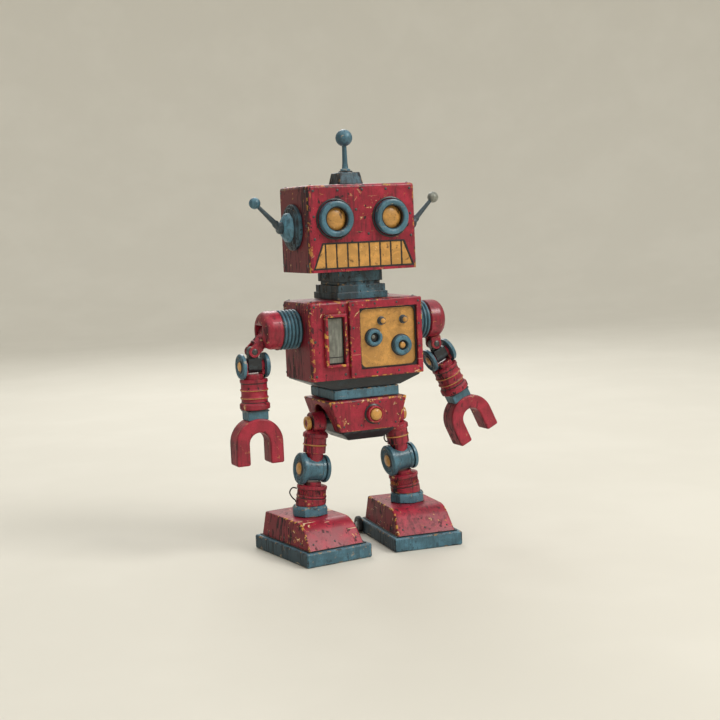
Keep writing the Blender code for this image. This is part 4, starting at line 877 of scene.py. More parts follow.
class ROBOT_OT_controls(bpy.types.Operator):
    """Riveted frame, amber panel, dials and stub lamps"""

    bl_idname = "robot.controls"
    bl_label = "Control panel"

    def execute(self, context):
        refined("control_frame", "red_face", "torso")
        refined("control_panel", "amber", "torso", width=0.2 * MM)
        a, b = low("control_panel"), high("control_panel")
        self.gasket(a, b)
        fa, fb = low("control_frame"), high("control_frame")
        inset = 2.9 * MM
        left, right, top, bottom = fa.x + inset, fb.x - inset, fb.z - inset, fa.z + inset
        points = []
        for z in (top, bottom):
            points += face_row((left, fa.y, z), (right, fa.y, z), 4)
        for x in (left, right):
            points += face_row((x, fa.y, top), (x, fa.y, bottom), 4)[1:3]
        spots = [(point, FRONT) for point in points]
        studs("panel_rivets", "torso", spots, 0.85 * MM)
        for side in SIDES:
            self.dial(side)
            self.lamp(side)
        return {"FINISHED"}

    def gasket(self, a, b):
        """Black rubber line with rounded corners in the opening of the frame."""
        y = a.y - 1.4 * MM
        bm = bmesh.new()
        outer = bmesh.ops.create_grid(bm, x_segments=1, y_segments=1, size=0.5)["verts"]
        inner = bmesh.ops.create_grid(bm, x_segments=1, y_segments=1, size=0.5)["verts"]
        size = b - a
        for verts, trim in ((outer, 0.0), (inner, 2.2 * MM)):
            bmesh.ops.scale(bm, vec=(size.x + 0.6 * MM - trim, size.z + 0.6 * MM - trim, 1), verts=verts)
        rounding = {
            "affect": "VERTICES", "segments": 6, "profile": 0.5, "material": -1, "clamp_overlap": False
        }
        bmesh.ops.bevel(bm, geom=inner, offset=4.2 * MM, offset_type="OFFSET", **rounding)
        outer = [vert for vert in bm.verts if vert in outer]
        bmesh.ops.bevel(bm, geom=outer, offset=0.3 * MM, offset_type="OFFSET", **rounding)
        bmesh.ops.delete(bm, geom=bm.faces[:], context="FACES_ONLY")
        bmesh.ops.bridge_loops(bm, edges=bm.edges[:])
        bmesh.ops.solidify(bm, geom=bm.faces[:], thickness=1.4 * MM)
        centre = (a + b) / 2
        place = Matrix.Translation((centre.x, y, centre.z)) @ Matrix.Rotation(math.radians(90), 4, "X")
        bmesh.ops.transform(bm, matrix=place, verts=bm.verts)
        shift = y - min(vert.co.y for vert in bm.verts)
        bmesh.ops.translate(bm, vec=(0, shift, 0), verts=bm.verts)
        settle(bm, "panel_gasket", "line", "torso")

    def dial(self, side):
        hub = pivot(f"dial_turn_{side}")
        hub.y = low("control_panel").y
        axes = along(hub, FRONT)
        radius = (high(f"dial_{side}").x - low(f"dial_{side}").x) / 2 / MM
        bore = 3.4 if side == "right" else 3.6
        body = f"panel_dial_{side}"
        floor = 1.2
        ring = [
            (0, floor), (bore, floor), (bore, 3.5), (bore + 0.5, 4), (radius - 0.8, 4), (radius, 3.3),
            (radius, 0.3), (1.5, 0.3), (1.5, -2.6), (0, -2.6),
        ]
        turned(
            f"dial_ring_{side}", ring, axes, "blue", body, "blue_moulded", (f"dial_{side}",),
            width=0.12 * MM,
        )
        bm = bmesh.new()
        if side == "right":
            spin(
                bm, [(0, 1.8), (2.6, 1.75), (bore - 0.05, 1.4), (bore - 0.05, 1.25), (0, 1.25)], axes,
                width=0,
            )
            settle(bm, "dial_hollow", "line", body)
            # A small silver pin set off-centre in the black hollow: a real pin, placed and coloured as a
            # painted highlight.
            turned(
                "dial_highlight_pin", [(0, 2.5), (0.8, 2.45), (1.3, 2.1), (1.3, 1.5), (0, 1.5)],
                axes @ Matrix.Translation((-0.8 * MM, 0.6 * MM, 0)), "silver", body, "silver", width=0,
            )
        else:
            spin(bm, [(0, 1.9), (bore - 0.05, 1.75), (bore - 0.05, 1.25), (0, 1.25)], axes, width=0)
            settle(bm, "dial_well", "line", body)
            turned(
                "dial_knob", [(0, 3.6), (1.2, 3.5), (2, 3.1), (2.3, 2.4), (2.3, 1.5), (0, 1.5)], axes,
                "knob", body, "amber", width=0,
            )
        turned(
            f"dial_shadow_{side}",
            [(radius + 0.1, 0.02), (radius + 0.1, 0.6), (radius + 0.9, 0.35), (radius + 0.9, 0.02)], axes,
            "line", "torso", "dark_moulded", closed=True, width=0,
        )

    def lamp(self, side):
        centre = middle(f"lamp_{side}")
        centre.y = low("control_panel").y
        axes = along(centre, FRONT)
        stalk = [(0, 3.3), (2, 3.3), (2.5, 3), (2.6, 2.4), (2.6, 0.3), (3.1, 0.3), (3.1, 0.05), (0, 0.05)]
        turned(
            f"lamp_stalk_{side}", stalk, axes, "navy", "torso", "blue_moulded", (f"lamp_{side}",),
            width=0.15 * MM,
        )
        turned(
            f"lamp_tip_{side}", [(0, 5.2), (0.9, 5.1), (1.5, 4.6), (1.8, 3.9), (1.8, 3.2), (0, 3.2)], axes,
            "knob", "torso", "blue_moulded", (f"lamp_{side}",), width=0,
        )


class ROBOT_OT_battery(bpy.types.Operator):
    """Battery lid with grip ribs, the tray and the motor behind it"""

    bl_idname = "robot.battery"
    bl_label = "Battery"

    def execute(self, context):
        refined("battery_lid", "red_torso", "lid", width=0.3 * MM)
        refined("battery_box", "dark", "torso")
        refined("motor_unit", "steel", "torso")
        a, b = low("battery_lid"), high("battery_lid")
        centre = (a + b) / 2
        bm = bmesh.new()
        for i in range(5):
            z = b.z - (7 + 2.6 * i) * MM
            bar(
                bm, (centre.x - 9 * MM, b.y - 0.7 * MM, z),
                (centre.x + 9 * MM, b.y + 0.6 * MM, z + 1.2 * MM), width=0.5 * MM, segments=3,
            )
        bar(
            bm, (centre.x - 5 * MM, b.y - 0.8 * MM, b.z - 2.2 * MM),
            (centre.x + 5 * MM, b.y + 1.0 * MM, b.z - 0.6 * MM), width=0.4 * MM,
        )
        settle(bm, "lid_grips", "red_torso", "lid")
        bm = bmesh.new()
        for z in (a.z + 6.5 * MM, b.z - 24 * MM):
            for dx in (-15, 15):
                bar(
                    bm, (centre.x + (dx - 1) * MM, b.y - 0.5 * MM, z),
                    (centre.x + (dx + 1) * MM, b.y + 0.35 * MM, z + 2 * MM), width=0.4 * MM,
                )
        settle(bm, "lid_dimples", "red_torso", "lid")
        return {"FINISHED"}


# ------------------------------------------------------------------ pelvis
class ROBOT_OT_pelvis(bpy.types.Operator):
    """Pelvis box, tray, waist, push button and shaft caps"""

    bl_idname = "robot.pelvis"
    bl_label = "Pelvis"

    def execute(self, context):
        refined("pelvis_shell", "red_pelvis", "pelvis")
        refined("pelvis_pan", "dark", "pelvis", width=0.5 * MM)
        refined("waist_block", "blue", "pelvis", width=0.2 * MM)
        hub = middle("power_button")
        hub.y = low("pelvis_shell").y
        axes = along(hub, FRONT)
        ring = [(4.5, 3.9), (4.9, 4.4), (5.5, 4.4), (6, 3.9), (6, 0.3), (4.5, 0.3)]
        turned(
            "button_ring", ring, axes, "red_pelvis", "pelvis", "red_moulded", ("button_bezel",),
            closed=True, width=0.1 * MM,
        )
        # A black ring round the button's bezel: painted shadow, made like the dial shadows.
        turned(
            "button_shadow_ring", [(6.1, 0.02), (6.1, 0.9), (7.2, 0.35), (7.2, 0.02)], axes, "line", "pelvis",
            "dark_moulded", closed=True, width=0,
        )
        knob = [(0, 6.35), (2, 6.25), (3.4, 5.8), (4.1, 5), (4.2, 4.4), (4.2, 2.4), (0, 2.4)]
        turned("button_cap", knob, axes, "knob", "button", "amber", ("power_button",), width=0)
        self.shaft_caps()
        self.rivets()
        return {"FINISHED"}

    def shaft_caps(self):
        a, b = low("pelvis_pan"), high("pelvis_pan")
        hip = pivot("hip_swing_right")
        for sign in (-1, 1):
            end = a.x if sign < 0 else b.x
            axes = along((end, hip.y, hip.z), (sign, 0, 0))
            side = "right" if sign < 0 else "left"
            ring = [(2.6, 0.5), (3, 1), (4.3, 1), (4.9, 0.5), (4.9, -1.6), (4.2, -2.1), (2.6, -2.1)]
            turned(
                f"shaft_ring_{side}", ring, axes, "knob", "pelvis", "dark_moulded", closed=True,
                width=0.15 * MM,
            )
            turned(
                f"shaft_nut_{side}", [(0, 0.9), (1.4, 0.85), (2.5, 0.4), (2.5, -0.5), (0, -0.5)], axes,
                "red_limb", "pelvis", "red_moulded", width=0,
            )

    def rivets(self):
        a, b = low("pelvis_shell"), high("pelvis_shell")
        slope = 7.5 * MM / (b.z - a.z)
        spots = []
        for height, count in ((b.z - 3 * MM, 4), (a.z + 3.6 * MM, 4)):
            trim = 3.6 * MM + (b.z - height) * slope
            row = face_row((a.x + trim, a.y, height), (b.x - trim, a.y, height), count)
            spots += [(point, FRONT) for point in row]
            spots += [(Vector((point.x, b.y, point.z)), BACK) for point in row]
        studs("pelvis_rivets", "pelvis", spots, 0.8 * MM)


# ------------------------------------------------------------------ arms
class ROBOT_OT_arms(bpy.types.Operator):
    """Shoulders, upper arms, elbows, forearms and claws"""

    bl_idname = "robot.arms"
    bl_label = "Arms"

    def execute(self, context):
        for side, sign in SIDES.items():
            self.shoulder(side, sign)
            self.upper_arm(side)
            self.elbow(side)
            self.forearm(side)
            self.claw(side)
        return {"FINISHED"}

    def shoulder(self, side, sign):
        hub = pivot(f"shoulder_turn_{side}")
        axes = along(hub, (sign, 0, 0))
        body = f"shoulder_{side}"
        bm = bmesh.new()
        ribs, width = 5, 13.8
        drum = [(0, 14.1)]
        pitch = width / ribs
        for i in range(ribs):
            top = 14.1 - i * pitch
            drum += [
                (12.5, top), (13.7, top - 0.18 * pitch), (14, top - 0.45 * pitch),
                (13.7, top - 0.72 * pitch),
            ]
        drum += [(12.5, 0.3), (4.2, 0.3), (4.2, -4), (0, -4)]
        spin(bm, drum, axes, width=0)
        settle(bm, f"shoulder_bellows_{side}", "blue", body, (f"shoulder_drum_{side}",), 50)
        bm = bmesh.new()
        for i in range(ribs + 1):
            top = 14.1 - i * pitch
            hoop(bm, axes, 12.2, 12.9, top, 0.3)
        settle(bm, f"shoulder_lines_{side}", "line", body)
        bm = bmesh.new()
        rounding = 6.2
        curve = [math.radians(90 - 9 * i) for i in range(11)]
        cap = [(0, 28.2)]
        cap += [
            (14 - rounding + rounding * math.cos(a), 28.2 - rounding + rounding * math.sin(a))
            for a in curve
        ]
        cap += [(14, 15.4), (13, 14.4), (0, 14.4)]
        spin(bm, cap, axes, width=0)
        hood = settle(
            bm, f"shoulder_hood_{side}", "red_claw", body, (f"shoulder_cap_{side}",), 50
        )
        slot = bmesh.new()
        near, far = hub.x + sign * 15.8 * MM, hub.x + sign * 33 * MM
        ceiling = hub.z + 4.5 * MM
        bar(
            slot, (near, hub.y - 6.3 * MM, hub.z - 19 * MM), (far, hub.y + 6.3 * MM, ceiling),
            width=0.8 * MM,
        )
        cut(hood, scratch_solid(slot))
        hood.data.set_sharp_from_angle(angle=math.radians(40))
        bm = bmesh.new()
        lift = pivot(f"shoulder_lift_{side}")
        for direction in (FRONT, BACK):
            spin(
                bm, [(0, 13.6), (1.7, 13.5), (2.4, 12.9), (2.4, 11.4), (0, 11.4)], along(lift, direction),
                width=0,
            )
        spin(bm, pin(1.5, 6.4), along(lift, FRONT), width=0)
        settle(bm, f"shoulder_pin_{side}", "rivet", body, (), 50)

    def upper_arm(self, side):
        top, end = pivot(f"shoulder_lift_{side}"), pivot(f"elbow_sway_{side}")
        axes = limb(top, end)
        body = f"arm_{side}"
        bm = bmesh.new()
        spin(bm, [(1.9, 6), (5, 6), (5, -6), (1.9, -6)], along(top, FRONT), closed=True, width=0.4 * MM)
        tube = [
            (0, -2.2), (4.2, -2.4), (4.7, -6.3), (5.4, -6.7), (5.4, -7.4), (5.1, -7.7), (5.1, -11.2),
            (5.4, -11.5), (5.4, -12.4), (0, -12.4),
        ]
        spin(bm, tube, axes, width=0.2 * MM)
        for sign in (-1, 1):
            inner, outer = sorted((sign * 2.8, sign * 5.2))
            spin(
                bm, [(1.9, outer), (4, outer), (4, inner), (1.9, inner)], along(end, BACK), closed=True,
                width=0.3 * MM,
            )
            bar(
                bm, (-3.8 * MM, (inner + 0.1) * MM, -16 * MM), (3.8 * MM, (outer - 0.1) * MM, -11.6 * MM),
                axes, 0.2 * MM,
            )
        settle(bm, f"upper_arm_{side}_skin", "red_limb", body, (f"upper_arm_{side}",), 40)
        bm = bmesh.new()
        for sign in (-1, 1):
            start = along(end, (0, sign, 0))
            spin(bm, [(0, 5.9), (1.6, 5.8), (2.2, 5.3), (2.2, 4.6), (0, 4.6)], start, width=0)
        settle(bm, f"arm_studs_{side}", "rivet", body, (), 50)

    def elbow(self, side):
        refined(f"elbow_block_{side}", "dark", f"elbow_{side}", width=0.3 * MM)
        top, end = pivot(f"elbow_bend_{side}"), pivot(f"wrist_turn_{side}")
        axes = limb(top, end)
        across = axes.to_3x3() @ OUTWARD
        body = f"lower_arm_{side}"
        node = f"elbow_axle_{side}"
        discs, rims, hubs, rod = bmesh.new(), bmesh.new(), bmesh.new(), bmesh.new()
        for sign in (-1, 1):
            out = along(top, sign * across)
            face = 10.2
            plate = [
                (0, face - 0.9), (5.2, face - 0.9), (5.5, face - 0.4), (6, face - 0.4), (6.3, face - 0.9),
                (6.7, face - 0.9), (7, face), (8.1, face), (8.8, face - 0.7), (8.8, 7.4), (0, 7.4),
            ]
            spin(discs, plate, out, width=0.1 * MM)
            spin(
                rims, [(3.4, face - 0.1), (4.6, face - 0.3), (4.6, face - 1), (3.4, face - 1)], out,
                closed=True, width=0.1 * MM,
            )
            spin(
                hubs,
                [
                    (0, face + 0.7), (1.4, face + 0.6), (2.8, face + 0.2), (3.3, face - 0.4),
                    (3.3, face - 1), (0, face - 1),
                ],
                out, width=0,
            )
        spin(rod, pin(2.2, 7.5), along(top, across), width=0)
        settle(discs, f"elbow_discs_{side}", "blue", body, (node,))
        settle(rims, f"elbow_rims_{side}", "line", body, (node,))
        settle(hubs, f"elbow_hubs_{side}", "knob", body, (node,))
        settle(rod, f"elbow_rod_{side}", "steel", body, (node,), 50)

    def forearm(self, side):
        top, end = pivot(f"elbow_bend_{side}"), pivot(f"wrist_turn_{side}")
        axes = limb(top, end)
        body = f"lower_arm_{side}"
        bm = bmesh.new()
        start = 9.1
        length = 21
        tube = [
            (0, -5.6), (6.8, -5.6), (7.1, -6.2), (7.1, -start), (9.3, -start), (9.8, -start - 0.4),
            (9.8, -start - 2.1), (9.2, -start - 2.5),
        ]
        for share in (0.36, 0.62):
            ring = start + share * length
            tube += [(9.2, -ring + 1.1), (9.8, -ring + 0.4), (9.8, -ring - 0.4), (9.2, -ring - 1.1)]
        cuff = start + length
        tube += [
            (9.2, -cuff + 4.8), (10.1, -cuff + 4.1), (10.6, -cuff + 3.4), (10.6, -cuff + 0.4),
            (10.2, -cuff), (3.3, -cuff), (3.3, -cuff + 6), (0, -cuff + 6),
        ]
        spin(bm, tube, axes, width=0.12 * MM)
        across = axes.to_3x3() @ OUTWARD
        for sign in (-1, 1):
            inner, outer = sorted((sign * 5.1, sign * 7.1))
            spin(
                bm, [(2.5, outer), (4.4, outer), (4.4, inner), (2.5, inner)], along(top, across),
                closed=True, width=0.2 * MM,
            )
            bar(bm, (inner * MM, -4.2 * MM, -6.2 * MM), (outer * MM, 4.2 * MM, -2.6 * MM), axes, 0.2 * MM)
        settle(bm, f"forearm_{side}_skin", "red_limb", body, (f"forearm_{side}",), 40)
        bm = bmesh.new()
        for share in (0.36, 0.62):
            ring = start + share * length
            spin(
                bm, [(9.7, -ring + 0.35), (9.95, -ring + 0.2), (9.95, -ring - 0.2), (9.7, -ring - 0.35)],
                axes, True, width=0,
            )
        settle(bm, f"forearm_bands_{side}", "knob", body, (), 50)
        bm = bmesh.new()
        for height in (start + 2.75, cuff - 5.0):
            hoop(bm, axes, 9.1, 9.32, -height, 0.3)
        settle(bm, f"forearm_lines_{side}", "line", body, (), 50)

    def claw(self, side):
        wrist = pivot(f"wrist_turn_{side}")
        axes = limb(pivot(f"elbow_bend_{side}"), wrist, wrist)
        body = f"hand_{side}"
        bm = bmesh.new()
        radius, gap, leg, depth = 17.5, 7.5, 15, 15
        arch = -23.5
        steps = 28
        angles = [math.pi * i / steps for i in range(steps + 1)]
        section = [(gap, -depth / 2), (radius, -depth / 2), (radius, depth / 2), (gap, depth / 2)]
        ends = [bm.verts.new((x * MM, y * MM, arch * MM)) for x, y in section]
        face = bm.faces.new(ends)
        swept = bmesh.ops.spin(
            bm,
            geom=[face, *ends, *face.edges],
            cent=(0, 0, arch * MM),
            axis=(0, -1, 0),
            dvec=(0, 0, 0),
            angle=math.pi,
            steps=steps,
            use_merge=False,
            use_duplicate=False,
        )["geom_last"]
        last = [item for item in swept if isinstance(item, bmesh.types.BMFace)]
        first = [
            item
            for item in bm.faces if all(abs(v.co.z - arch * MM) < 1e-7 and v.co.x > 0 for v in item.verts)
        ]
        for cap in (last, first):
            grown = bmesh.ops.extrude_face_region(bm, geom=cap)["geom"]
            moved = [item for item in grown if isinstance(item, bmesh.types.BMVert)]
            bmesh.ops.translate(bm, vec=(0, 0, -leg * MM), verts=moved)
            bmesh.ops.delete(bm, geom=cap, context="FACES_ONLY")
        bmesh.ops.remove_doubles(bm, verts=bm.verts, dist=WELD)
        bmesh.ops.recalc_face_normals(bm, faces=bm.faces)
        soften(bm, 1.5 * MM, segments=3)
        bmesh.ops.transform(bm, matrix=axes, verts=bm.verts)
        settle(bm, f"claw_{side}_skin", "red_claw", body, (f"claw_{side}",), 30)
        bm = bmesh.new()
        bar(bm, (-7.5 * MM, -6.5 * MM, -7.4 * MM), (7.5 * MM, 6.5 * MM, -0.3 * MM), axes, 0.8 * MM, 3)
        spin(bm, [(0, 4.6), (2.6, 4.6), (3, 4.2), (3, -5), (0, -5)], axes, width=0)
        settle(bm, f"wrist_block_{side}", "blue", body, (f"claw_{side}",))
        bm = bmesh.new()
        bar(bm, (-8 * MM, -7 * MM, -1.5 * MM), (8 * MM, 7 * MM, -0.35 * MM), axes, 0.3 * MM)
        settle(bm, f"wrist_collar_{side}", "navy", body, (f"claw_{side}",))


# ------------------------------------------------------------------ legs
class ROBOT_OT_legs(bpy.types.Operator):
    """Thighs, knees, shins, ankle collars and leads"""

    bl_idname = "robot.legs"
    bl_label = "Legs"

    def execute(self, context):
        for side in SIDES:
            hip, knee = pivot(f"hip_swing_{side}"), pivot(f"knee_bend_{side}")
            self.thigh(side, hip, knee)
            self.knee(side, hip, knee)
            self.shin(side, hip, knee)
            refined(
                f"ankle_collar_{side}", "blue", f"foot_{side}", width=0.35 * MM, smooth=20
            )
        for node in ("shin_lead", "thigh_lead"):
            lead = frame["nodes"][node]
            for slot in lead.material_slots:
                slot.material = FINISHES["wire"]
        return {"FINISHED"}

    def thigh(self, side, hip, knee):
        body = f"upper_leg_{side}"
        axes = limb(hip, knee)
        length = (hip - knee).length / MM
        shoulder = length - 11.6
        bm = bmesh.new()
        spin(
            bm, [(2.8, 4.8), (7.6, 4.8), (7.6, -4.8), (2.8, -4.8)], along(hip, OUTWARD), closed=True,
            width=0.5 * MM,
        )
        tube = [
            (0, -3), (4.6, -5), (7.2, -6.3), (8.7, -7.6), (9, -8), (9, -10.2), (8.6, -10.7), (8, -10.9),
            (8, -15), (8.4, -15.4), (8.4, -16.4), (8, -16.8), (8, -shoulder), (6.4, -shoulder),
            (6.4, -length + 4), (0, -length + 4),
        ]
        spin(bm, tube, axes, width=0.15 * MM)
        settle(bm, f"thigh_{side}_skin", "red_limb", body, (f"thigh_{side}",), 40)
        across = axes.to_3x3() @ OUTWARD
        drum = [
            (2.8, 7.3), (8.3, 7.3), (9, 6.7), (9, 4.6), (8.6, 4.3), (8.6, -4.3), (9, -4.6), (9, -6.7),
            (8.3, -7.3), (2.8, -7.3),
        ]
        turned(
            f"knee_drum_{side}", drum, along(knee, across), "blue", body, "red_moulded", (f"thigh_{side}",),
            closed=True, width=0.12 * MM,
        )
        turned(
            f"thigh_band_{side}", [(8.05, -16.55), (8.6, -16.2), (8.6, -15.6), (8.05, -15.25)], axes,
            "knob", body, "red_moulded", smooth=50, closed=True, width=0,
        )

    def knee(self, side, hip, knee):
        body = f"lower_leg_{side}"
        node = f"knee_axle_{side}"
        across = limb(hip, knee).to_3x3() @ OUTWARD
        disc, rim, hub = bmesh.new(), bmesh.new(), bmesh.new()
        out = along(knee, -across)
        face = 11.4
        plate = [
            (0, face - 0.9), (6.6, face - 0.9), (6.9, face - 0.3), (7.5, face - 0.3), (7.8, face - 0.9),
            (8.2, face - 0.9), (8.7, face), (10.3, face), (11.3, face - 1), (11.3, 7.7), (10.9, 7.6),
            (0, 7.6),
        ]
        spin(disc, plate, out, width=0.12 * MM)
        spin(
            disc, [(0, 10.4), (8.7, 10.4), (9.5, 9.9), (9.9, 9.2), (9.9, 7.6), (0, 7.6)],
            along(knee, across), width=0.12 * MM,
        )
        spin(disc, pin(2.2, 7.7), out, width=0)
        spin(
            rim, [(4.5, face - 0.2), (5.9, face - 0.5), (5.9, face - 1), (4.5, face - 1)], out, closed=True,
            width=0.1 * MM,
        )
        spin(
            rim, [(0, 10.75), (2, 10.7), (2.8, 10.45), (2.8, 10.2), (0, 10.2)], along(knee, across), width=0
        )
        spin(
            hub,
            [
                (0, face + 0.9), (2.2, face + 0.8), (3.6, face + 0.3), (4.3, face - 0.4), (4.3, face - 1),
                (0, face - 1),
            ],
            out, width=0,
        )
        settle(disc, f"knee_discs_{side}", "blue", body, (node,))
        settle(rim, f"knee_rims_{side}", "line", body, (node,))
        settle(hub, f"knee_hub_{side}", "knob", body, (node,))

    def shin(self, side, hip, knee):
        body = f"lower_leg_{side}"
        axes = limb(hip, knee, knee)
        bm = bmesh.new()
        tube = [
            (0, -9.3), (6.4, -9.3), (6.4, -11.6), (10.2, -11.6), (10.8, -12.1), (10.8, -14), (10.3, -14.4),
            (10.3, -18.6), (10.8, -19), (10.8, -20), (10.4, -20.3), (10.4, -21), (10.8, -21.3),
            (10.8, -29.4), (0, -29.4),
        ]
        part = bmesh.new()
        spin(part, tube, Matrix(), steps=40, width=0.1 * MM)
        part.normal_update()
        band = []
        for face in part.faces:
            centre = face.calc_center_median()
            if -18.4 * MM < centre.z < -14.5 * MM and abs(face.normal.z) < 0.2 and face.calc_area() > 4e-6:
                band.append(face)
        bmesh.ops.inset_individual(part, faces=band, thickness=0.3 * MM, depth=-0.45 * MM)
        join(bm, part, axes)
        floor = low(f"shin_{side}").z
        whole = bm.verts[:] + bm.edges[:] + bm.faces[:]
        done = bmesh.ops.bisect_plane(
            bm, geom=whole, plane_co=(0, 0, floor), plane_no=(0, 0, -1), clear_outer=True
        )
        rim = [item for item in done["geom_cut"] if isinstance(item, bmesh.types.BMEdge)]
        bmesh.ops.holes_fill(bm, edges=rim, sides=0)
        settle(bm, f"shin_{side}_skin", "red_limb", body, (f"shin_{side}",), 40)
        bm = bmesh.new()
        for height in (14.2, 18.8, 20.65):
            hoop(bm, axes, 10.2, 10.5, -height, 0.28)
        settle(bm, f"shin_lines_{side}", "line", body, (), 50)


class ROBOT_OT_feet(bpy.types.Operator):
    """Wedge feet, soles, welts and heel rollers"""

    bl_idname = "robot.feet"
    bl_label = "Feet"

    def execute(self, context):
        for side, sign in SIDES.items():
            body = f"foot_{side}"
            refined(f"foot_shell_{side}", "red_foot", body, smooth=42)
            refined(f"sole_{side}", "blue_sole", body, width=0.15 * MM)
            self.trim(side, sign)
            self.roller(side)
        return {"FINISHED"}

    def trim(self, side, sign):
        ankle = pivot(f"ankle_turn_{side}")
        top = high(f"sole_{side}").z
        turn = Matrix.Rotation(math.radians(-6 * sign), 4, "Z")
        axes = Matrix.Translation((ankle.x, ankle.y, top)) @ turn
        body = f"foot_{side}"
        bm = bmesh.new()
        wide, front, back = 23.1 * MM, 38.2 * MM, 35.2 * MM
        rim = 1.0 * MM
        height = 0.75 * MM
        bar(bm, (-wide, -front, 0), (wide, -front + rim, height), axes, 0.25 * MM)
        bar(bm, (-wide, back - rim, 0), (wide, back, height), axes, 0.25 * MM)
        bar(bm, (-wide, -front, 0), (-wide + rim, back, height), axes, 0.25 * MM)
        bar(bm, (wide - rim, -front, 0), (wide, back, height), axes, 0.25 * MM)
        settle(bm, f"foot_welt_{side}", "line", body)
        spots = []
        slope = Vector((0, -17.2, 13)).normalized()
        for x in (-17, 0, 17):
            point = axes @ Vector((x * MM, -33.9 * MM, 4.2 * MM))
            spots.append((point, turn.to_3x3() @ slope))
        for direction in (-1, 1):
            for y in (-24, 0, 24):
                side_slope = Vector((direction * 17.2, 0, 2)).normalized()
                point = axes @ Vector((direction * 21.55 * MM, y * MM, 3.8 * MM))
                spots.append((point, turn.to_3x3() @ side_slope))
        studs(f"foot_rivets_{side}", body, spots, 0.85 * MM)

    def roller(self, side):
        spin_joint = JOINTS[f"roller_spin_{side}"]
        hub = pivot(f"roller_spin_{side}")
        centre = middle(f"heel_roller_{side}")
        outward = Vector(spin_joint["axis"])
        if outward.dot(centre - hub) < 0:
            outward = -outward
        axes = along(hub, outward)
        body = f"roller_{side}"
        wheel = [
            (2.2, 3.4), (4.3, 3.4), (4.6, 3.6), (5.3, 3.6), (5.8, 3.3), (6, 2.7), (6, 1), (5.7, 0.4),
            (5.2, 0.3), (1.5, 0.3), (1.5, -3.4), (0, -3.4), (0, 3.0), (2.2, 3.0),
        ]
        turned(
            f"roller_tyre_{side}", wheel, axes, "rubber", body, "rubber", (f"heel_roller_{side}",),
            width=0.12 * MM,
        )
        turned(
            f"roller_hub_{side}", [(0, 4.2), (1.4, 4.15), (2, 3.7), (2.1, 2.9), (0, 2.9)], axes, "steel",
            body, "rubber", (f"heel_roller_{side}",), 50, width=0,
        )


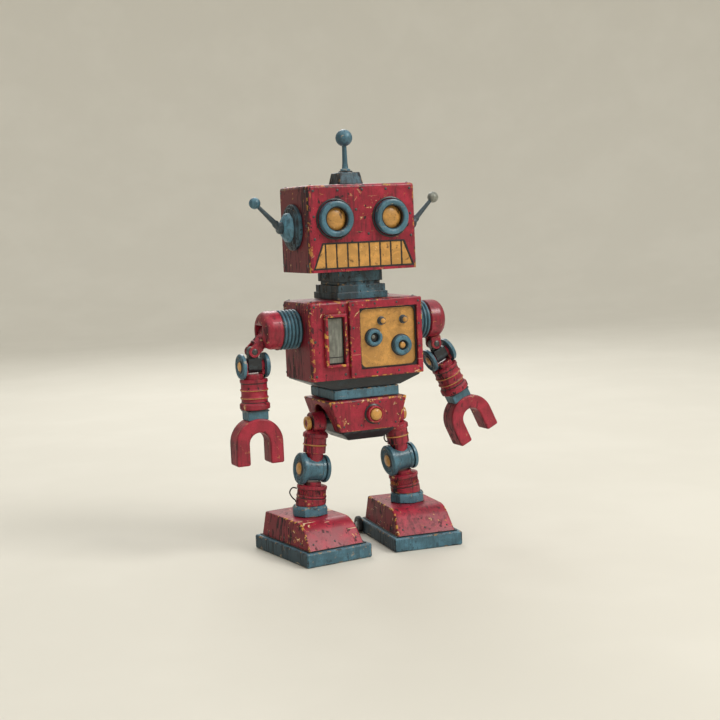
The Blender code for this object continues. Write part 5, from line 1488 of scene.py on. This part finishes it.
# ------------------------------------------------------------------ studio
class ROBOT_OT_studio(bpy.types.Operator):
    """Pale floor, soft lights and the camera"""

    bl_idname = "robot.studio"
    bl_label = "Studio"

    def execute(self, context):
        studio = context.scene.robot_studio
        self.floor()
        self.lights(studio)
        self.camera(context, studio)
        context.scene.view_settings.view_transform = "Standard"
        return {"FINISHED"}

    def floor(self):
        """A wide round floor that curves up into a plain wall on all sides."""
        bm = bmesh.new()
        bend = [math.radians(-90 + 9 * i) for i in range(11)]
        sweep = [(0, 0)] + [(1.9 + 1.2 * math.cos(a), 1.2 + 1.2 * math.sin(a)) for a in bend] + [(3.1, 2.6)]
        verts = [bm.verts.new((radius, 0, height)) for radius, height in sweep]
        edges = [bm.edges.new(pair) for pair in zip(verts, verts[1:])]
        turn = {"cent": (0, 0, 0), "axis": (0, 0, 1), "dvec": (0, 0, 0), "angle": math.tau, "steps": 96}
        bmesh.ops.spin(bm, geom=verts + edges, use_merge=True, use_duplicate=False, **turn)
        bmesh.ops.remove_doubles(bm, verts=bm.verts, dist=1e-5)
        bmesh.ops.recalc_face_normals(bm, faces=bm.faces)
        bmesh.ops.reverse_faces(bm, faces=bm.faces)
        mesh = bpy.data.meshes.new("floor")
        bm.to_mesh(mesh)
        bm.free()
        mesh.shade_smooth()
        f = Finish("floor_plaster")
        cloud = f.noise(6, 3)
        colour = f.mix(cloud.above(0.4, 0.7), (0.64, 0.612, 0.543), (0.66, 0.632, 0.563))
        mesh.materials.append(f.set(colour, 0.85))
        floor = bpy.data.objects.new("floor", mesh)
        bpy.context.scene.collection.objects.link(floor)

    def lights(self, studio):
        world = bpy.data.worlds.new("studio")
        bpy.context.scene.world = world
        world.use_nodes = True
        sky = world.node_tree.nodes["Background"]
        sky.inputs["Color"].default_value = (0.93, 0.93, 0.9, 1)
        sky.inputs["Strength"].default_value = 1.1
        setups = (
            ("key", (0.75, -0.95, 1.15), 0.55, studio.key, (1, 0.98, 0.94)),
            ("fill", (-1.15, -0.7, 0.6), 0.8, 0.1 * studio.key, (0.92, 0.96, 1)),
            ("rim", (0.3, 1.1, 0.95), 0.6, 0.5 * studio.key, (1, 1, 1)),
        )
        for name, place, size, power, colour in setups:
            data = bpy.data.lights.new(name, "AREA")
            data.shape = "SQUARE"
            data.size = size
            data.energy = power
            data.color = colour
            light = bpy.data.objects.new(name, data)
            light.location = place
            aim = Vector((0, 0, 0.15)) - Vector(place)
            light.rotation_euler = aim.to_track_quat("-Z", "Y").to_euler()
            bpy.context.scene.collection.objects.link(light)

    def camera(self, context, studio):
        data = bpy.data.cameras.new("camera")
        data.lens = studio.lens
        data.sensor_width = 36
        data.clip_start = 0.01
        camera = bpy.data.objects.new("camera", data)
        target = Vector((-0.0055, 0.0, 0.135))
        flat = math.cos(studio.elevation)
        away = Vector(
            (math.sin(studio.azimuth) * flat, -math.cos(studio.azimuth) * flat, math.sin(studio.elevation))
        )
        camera.location = target + away * studio.distance
        aim = (-away).to_track_quat("-Z", "Y").to_matrix() @ Matrix.Rotation(-studio.roll, 3, "Z")
        camera.rotation_euler = aim.to_euler()
        context.scene.collection.objects.link(camera)
        context.scene.camera = camera


class ROBOT_PT_panel(bpy.types.Panel):
    """Lists the robot's settings and pieces"""

    bl_label = "Tin Toy Robot"
    bl_idname = "ROBOT_PT_panel"
    bl_space_type = "VIEW_3D"
    bl_region_type = "UI"
    bl_category = "Robot"

    def draw(self, context):
        scene = context.scene
        for group in (scene.robot_paint, scene.robot_parts, scene.robot_studio):
            box = self.layout.box()
            for name in group.__annotations__:
                box.prop(group, name)
        column = self.layout.column()
        for operator in PIECES:
            column.operator(operator.bl_idname)


PIECES = (
    ROBOT_OT_studio,
    ROBOT_OT_head,
    ROBOT_OT_eyes,
    ROBOT_OT_mouth,
    ROBOT_OT_antennas,
    ROBOT_OT_torso,
    ROBOT_OT_controls,
    ROBOT_OT_battery,
    ROBOT_OT_pelvis,
    ROBOT_OT_arms,
    ROBOT_OT_legs,
    ROBOT_OT_feet,
)
GROUPS = {"robot_paint": RobotPaint, "robot_parts": RobotParts, "robot_studio": RobotStudio}
CLASSES = (*GROUPS.values(), *PIECES, ROBOT_PT_panel)


def register():
    for cls in CLASSES:
        bpy.utils.register_class(cls)
    for name, group in GROUPS.items():
        setattr(bpy.types.Scene, name, bpy.props.PointerProperty(type=group))


def unregister():
    for name in GROUPS:
        delattr(bpy.types.Scene, name)
    for cls in reversed(CLASSES):
        bpy.utils.unregister_class(cls)


def main():
    register()
    mix_finishes()
    for operator in PIECES:
        group, name = operator.bl_idname.split(".")
        getattr(getattr(bpy.ops, group), name)()


if __name__ == "__main__":
    main()
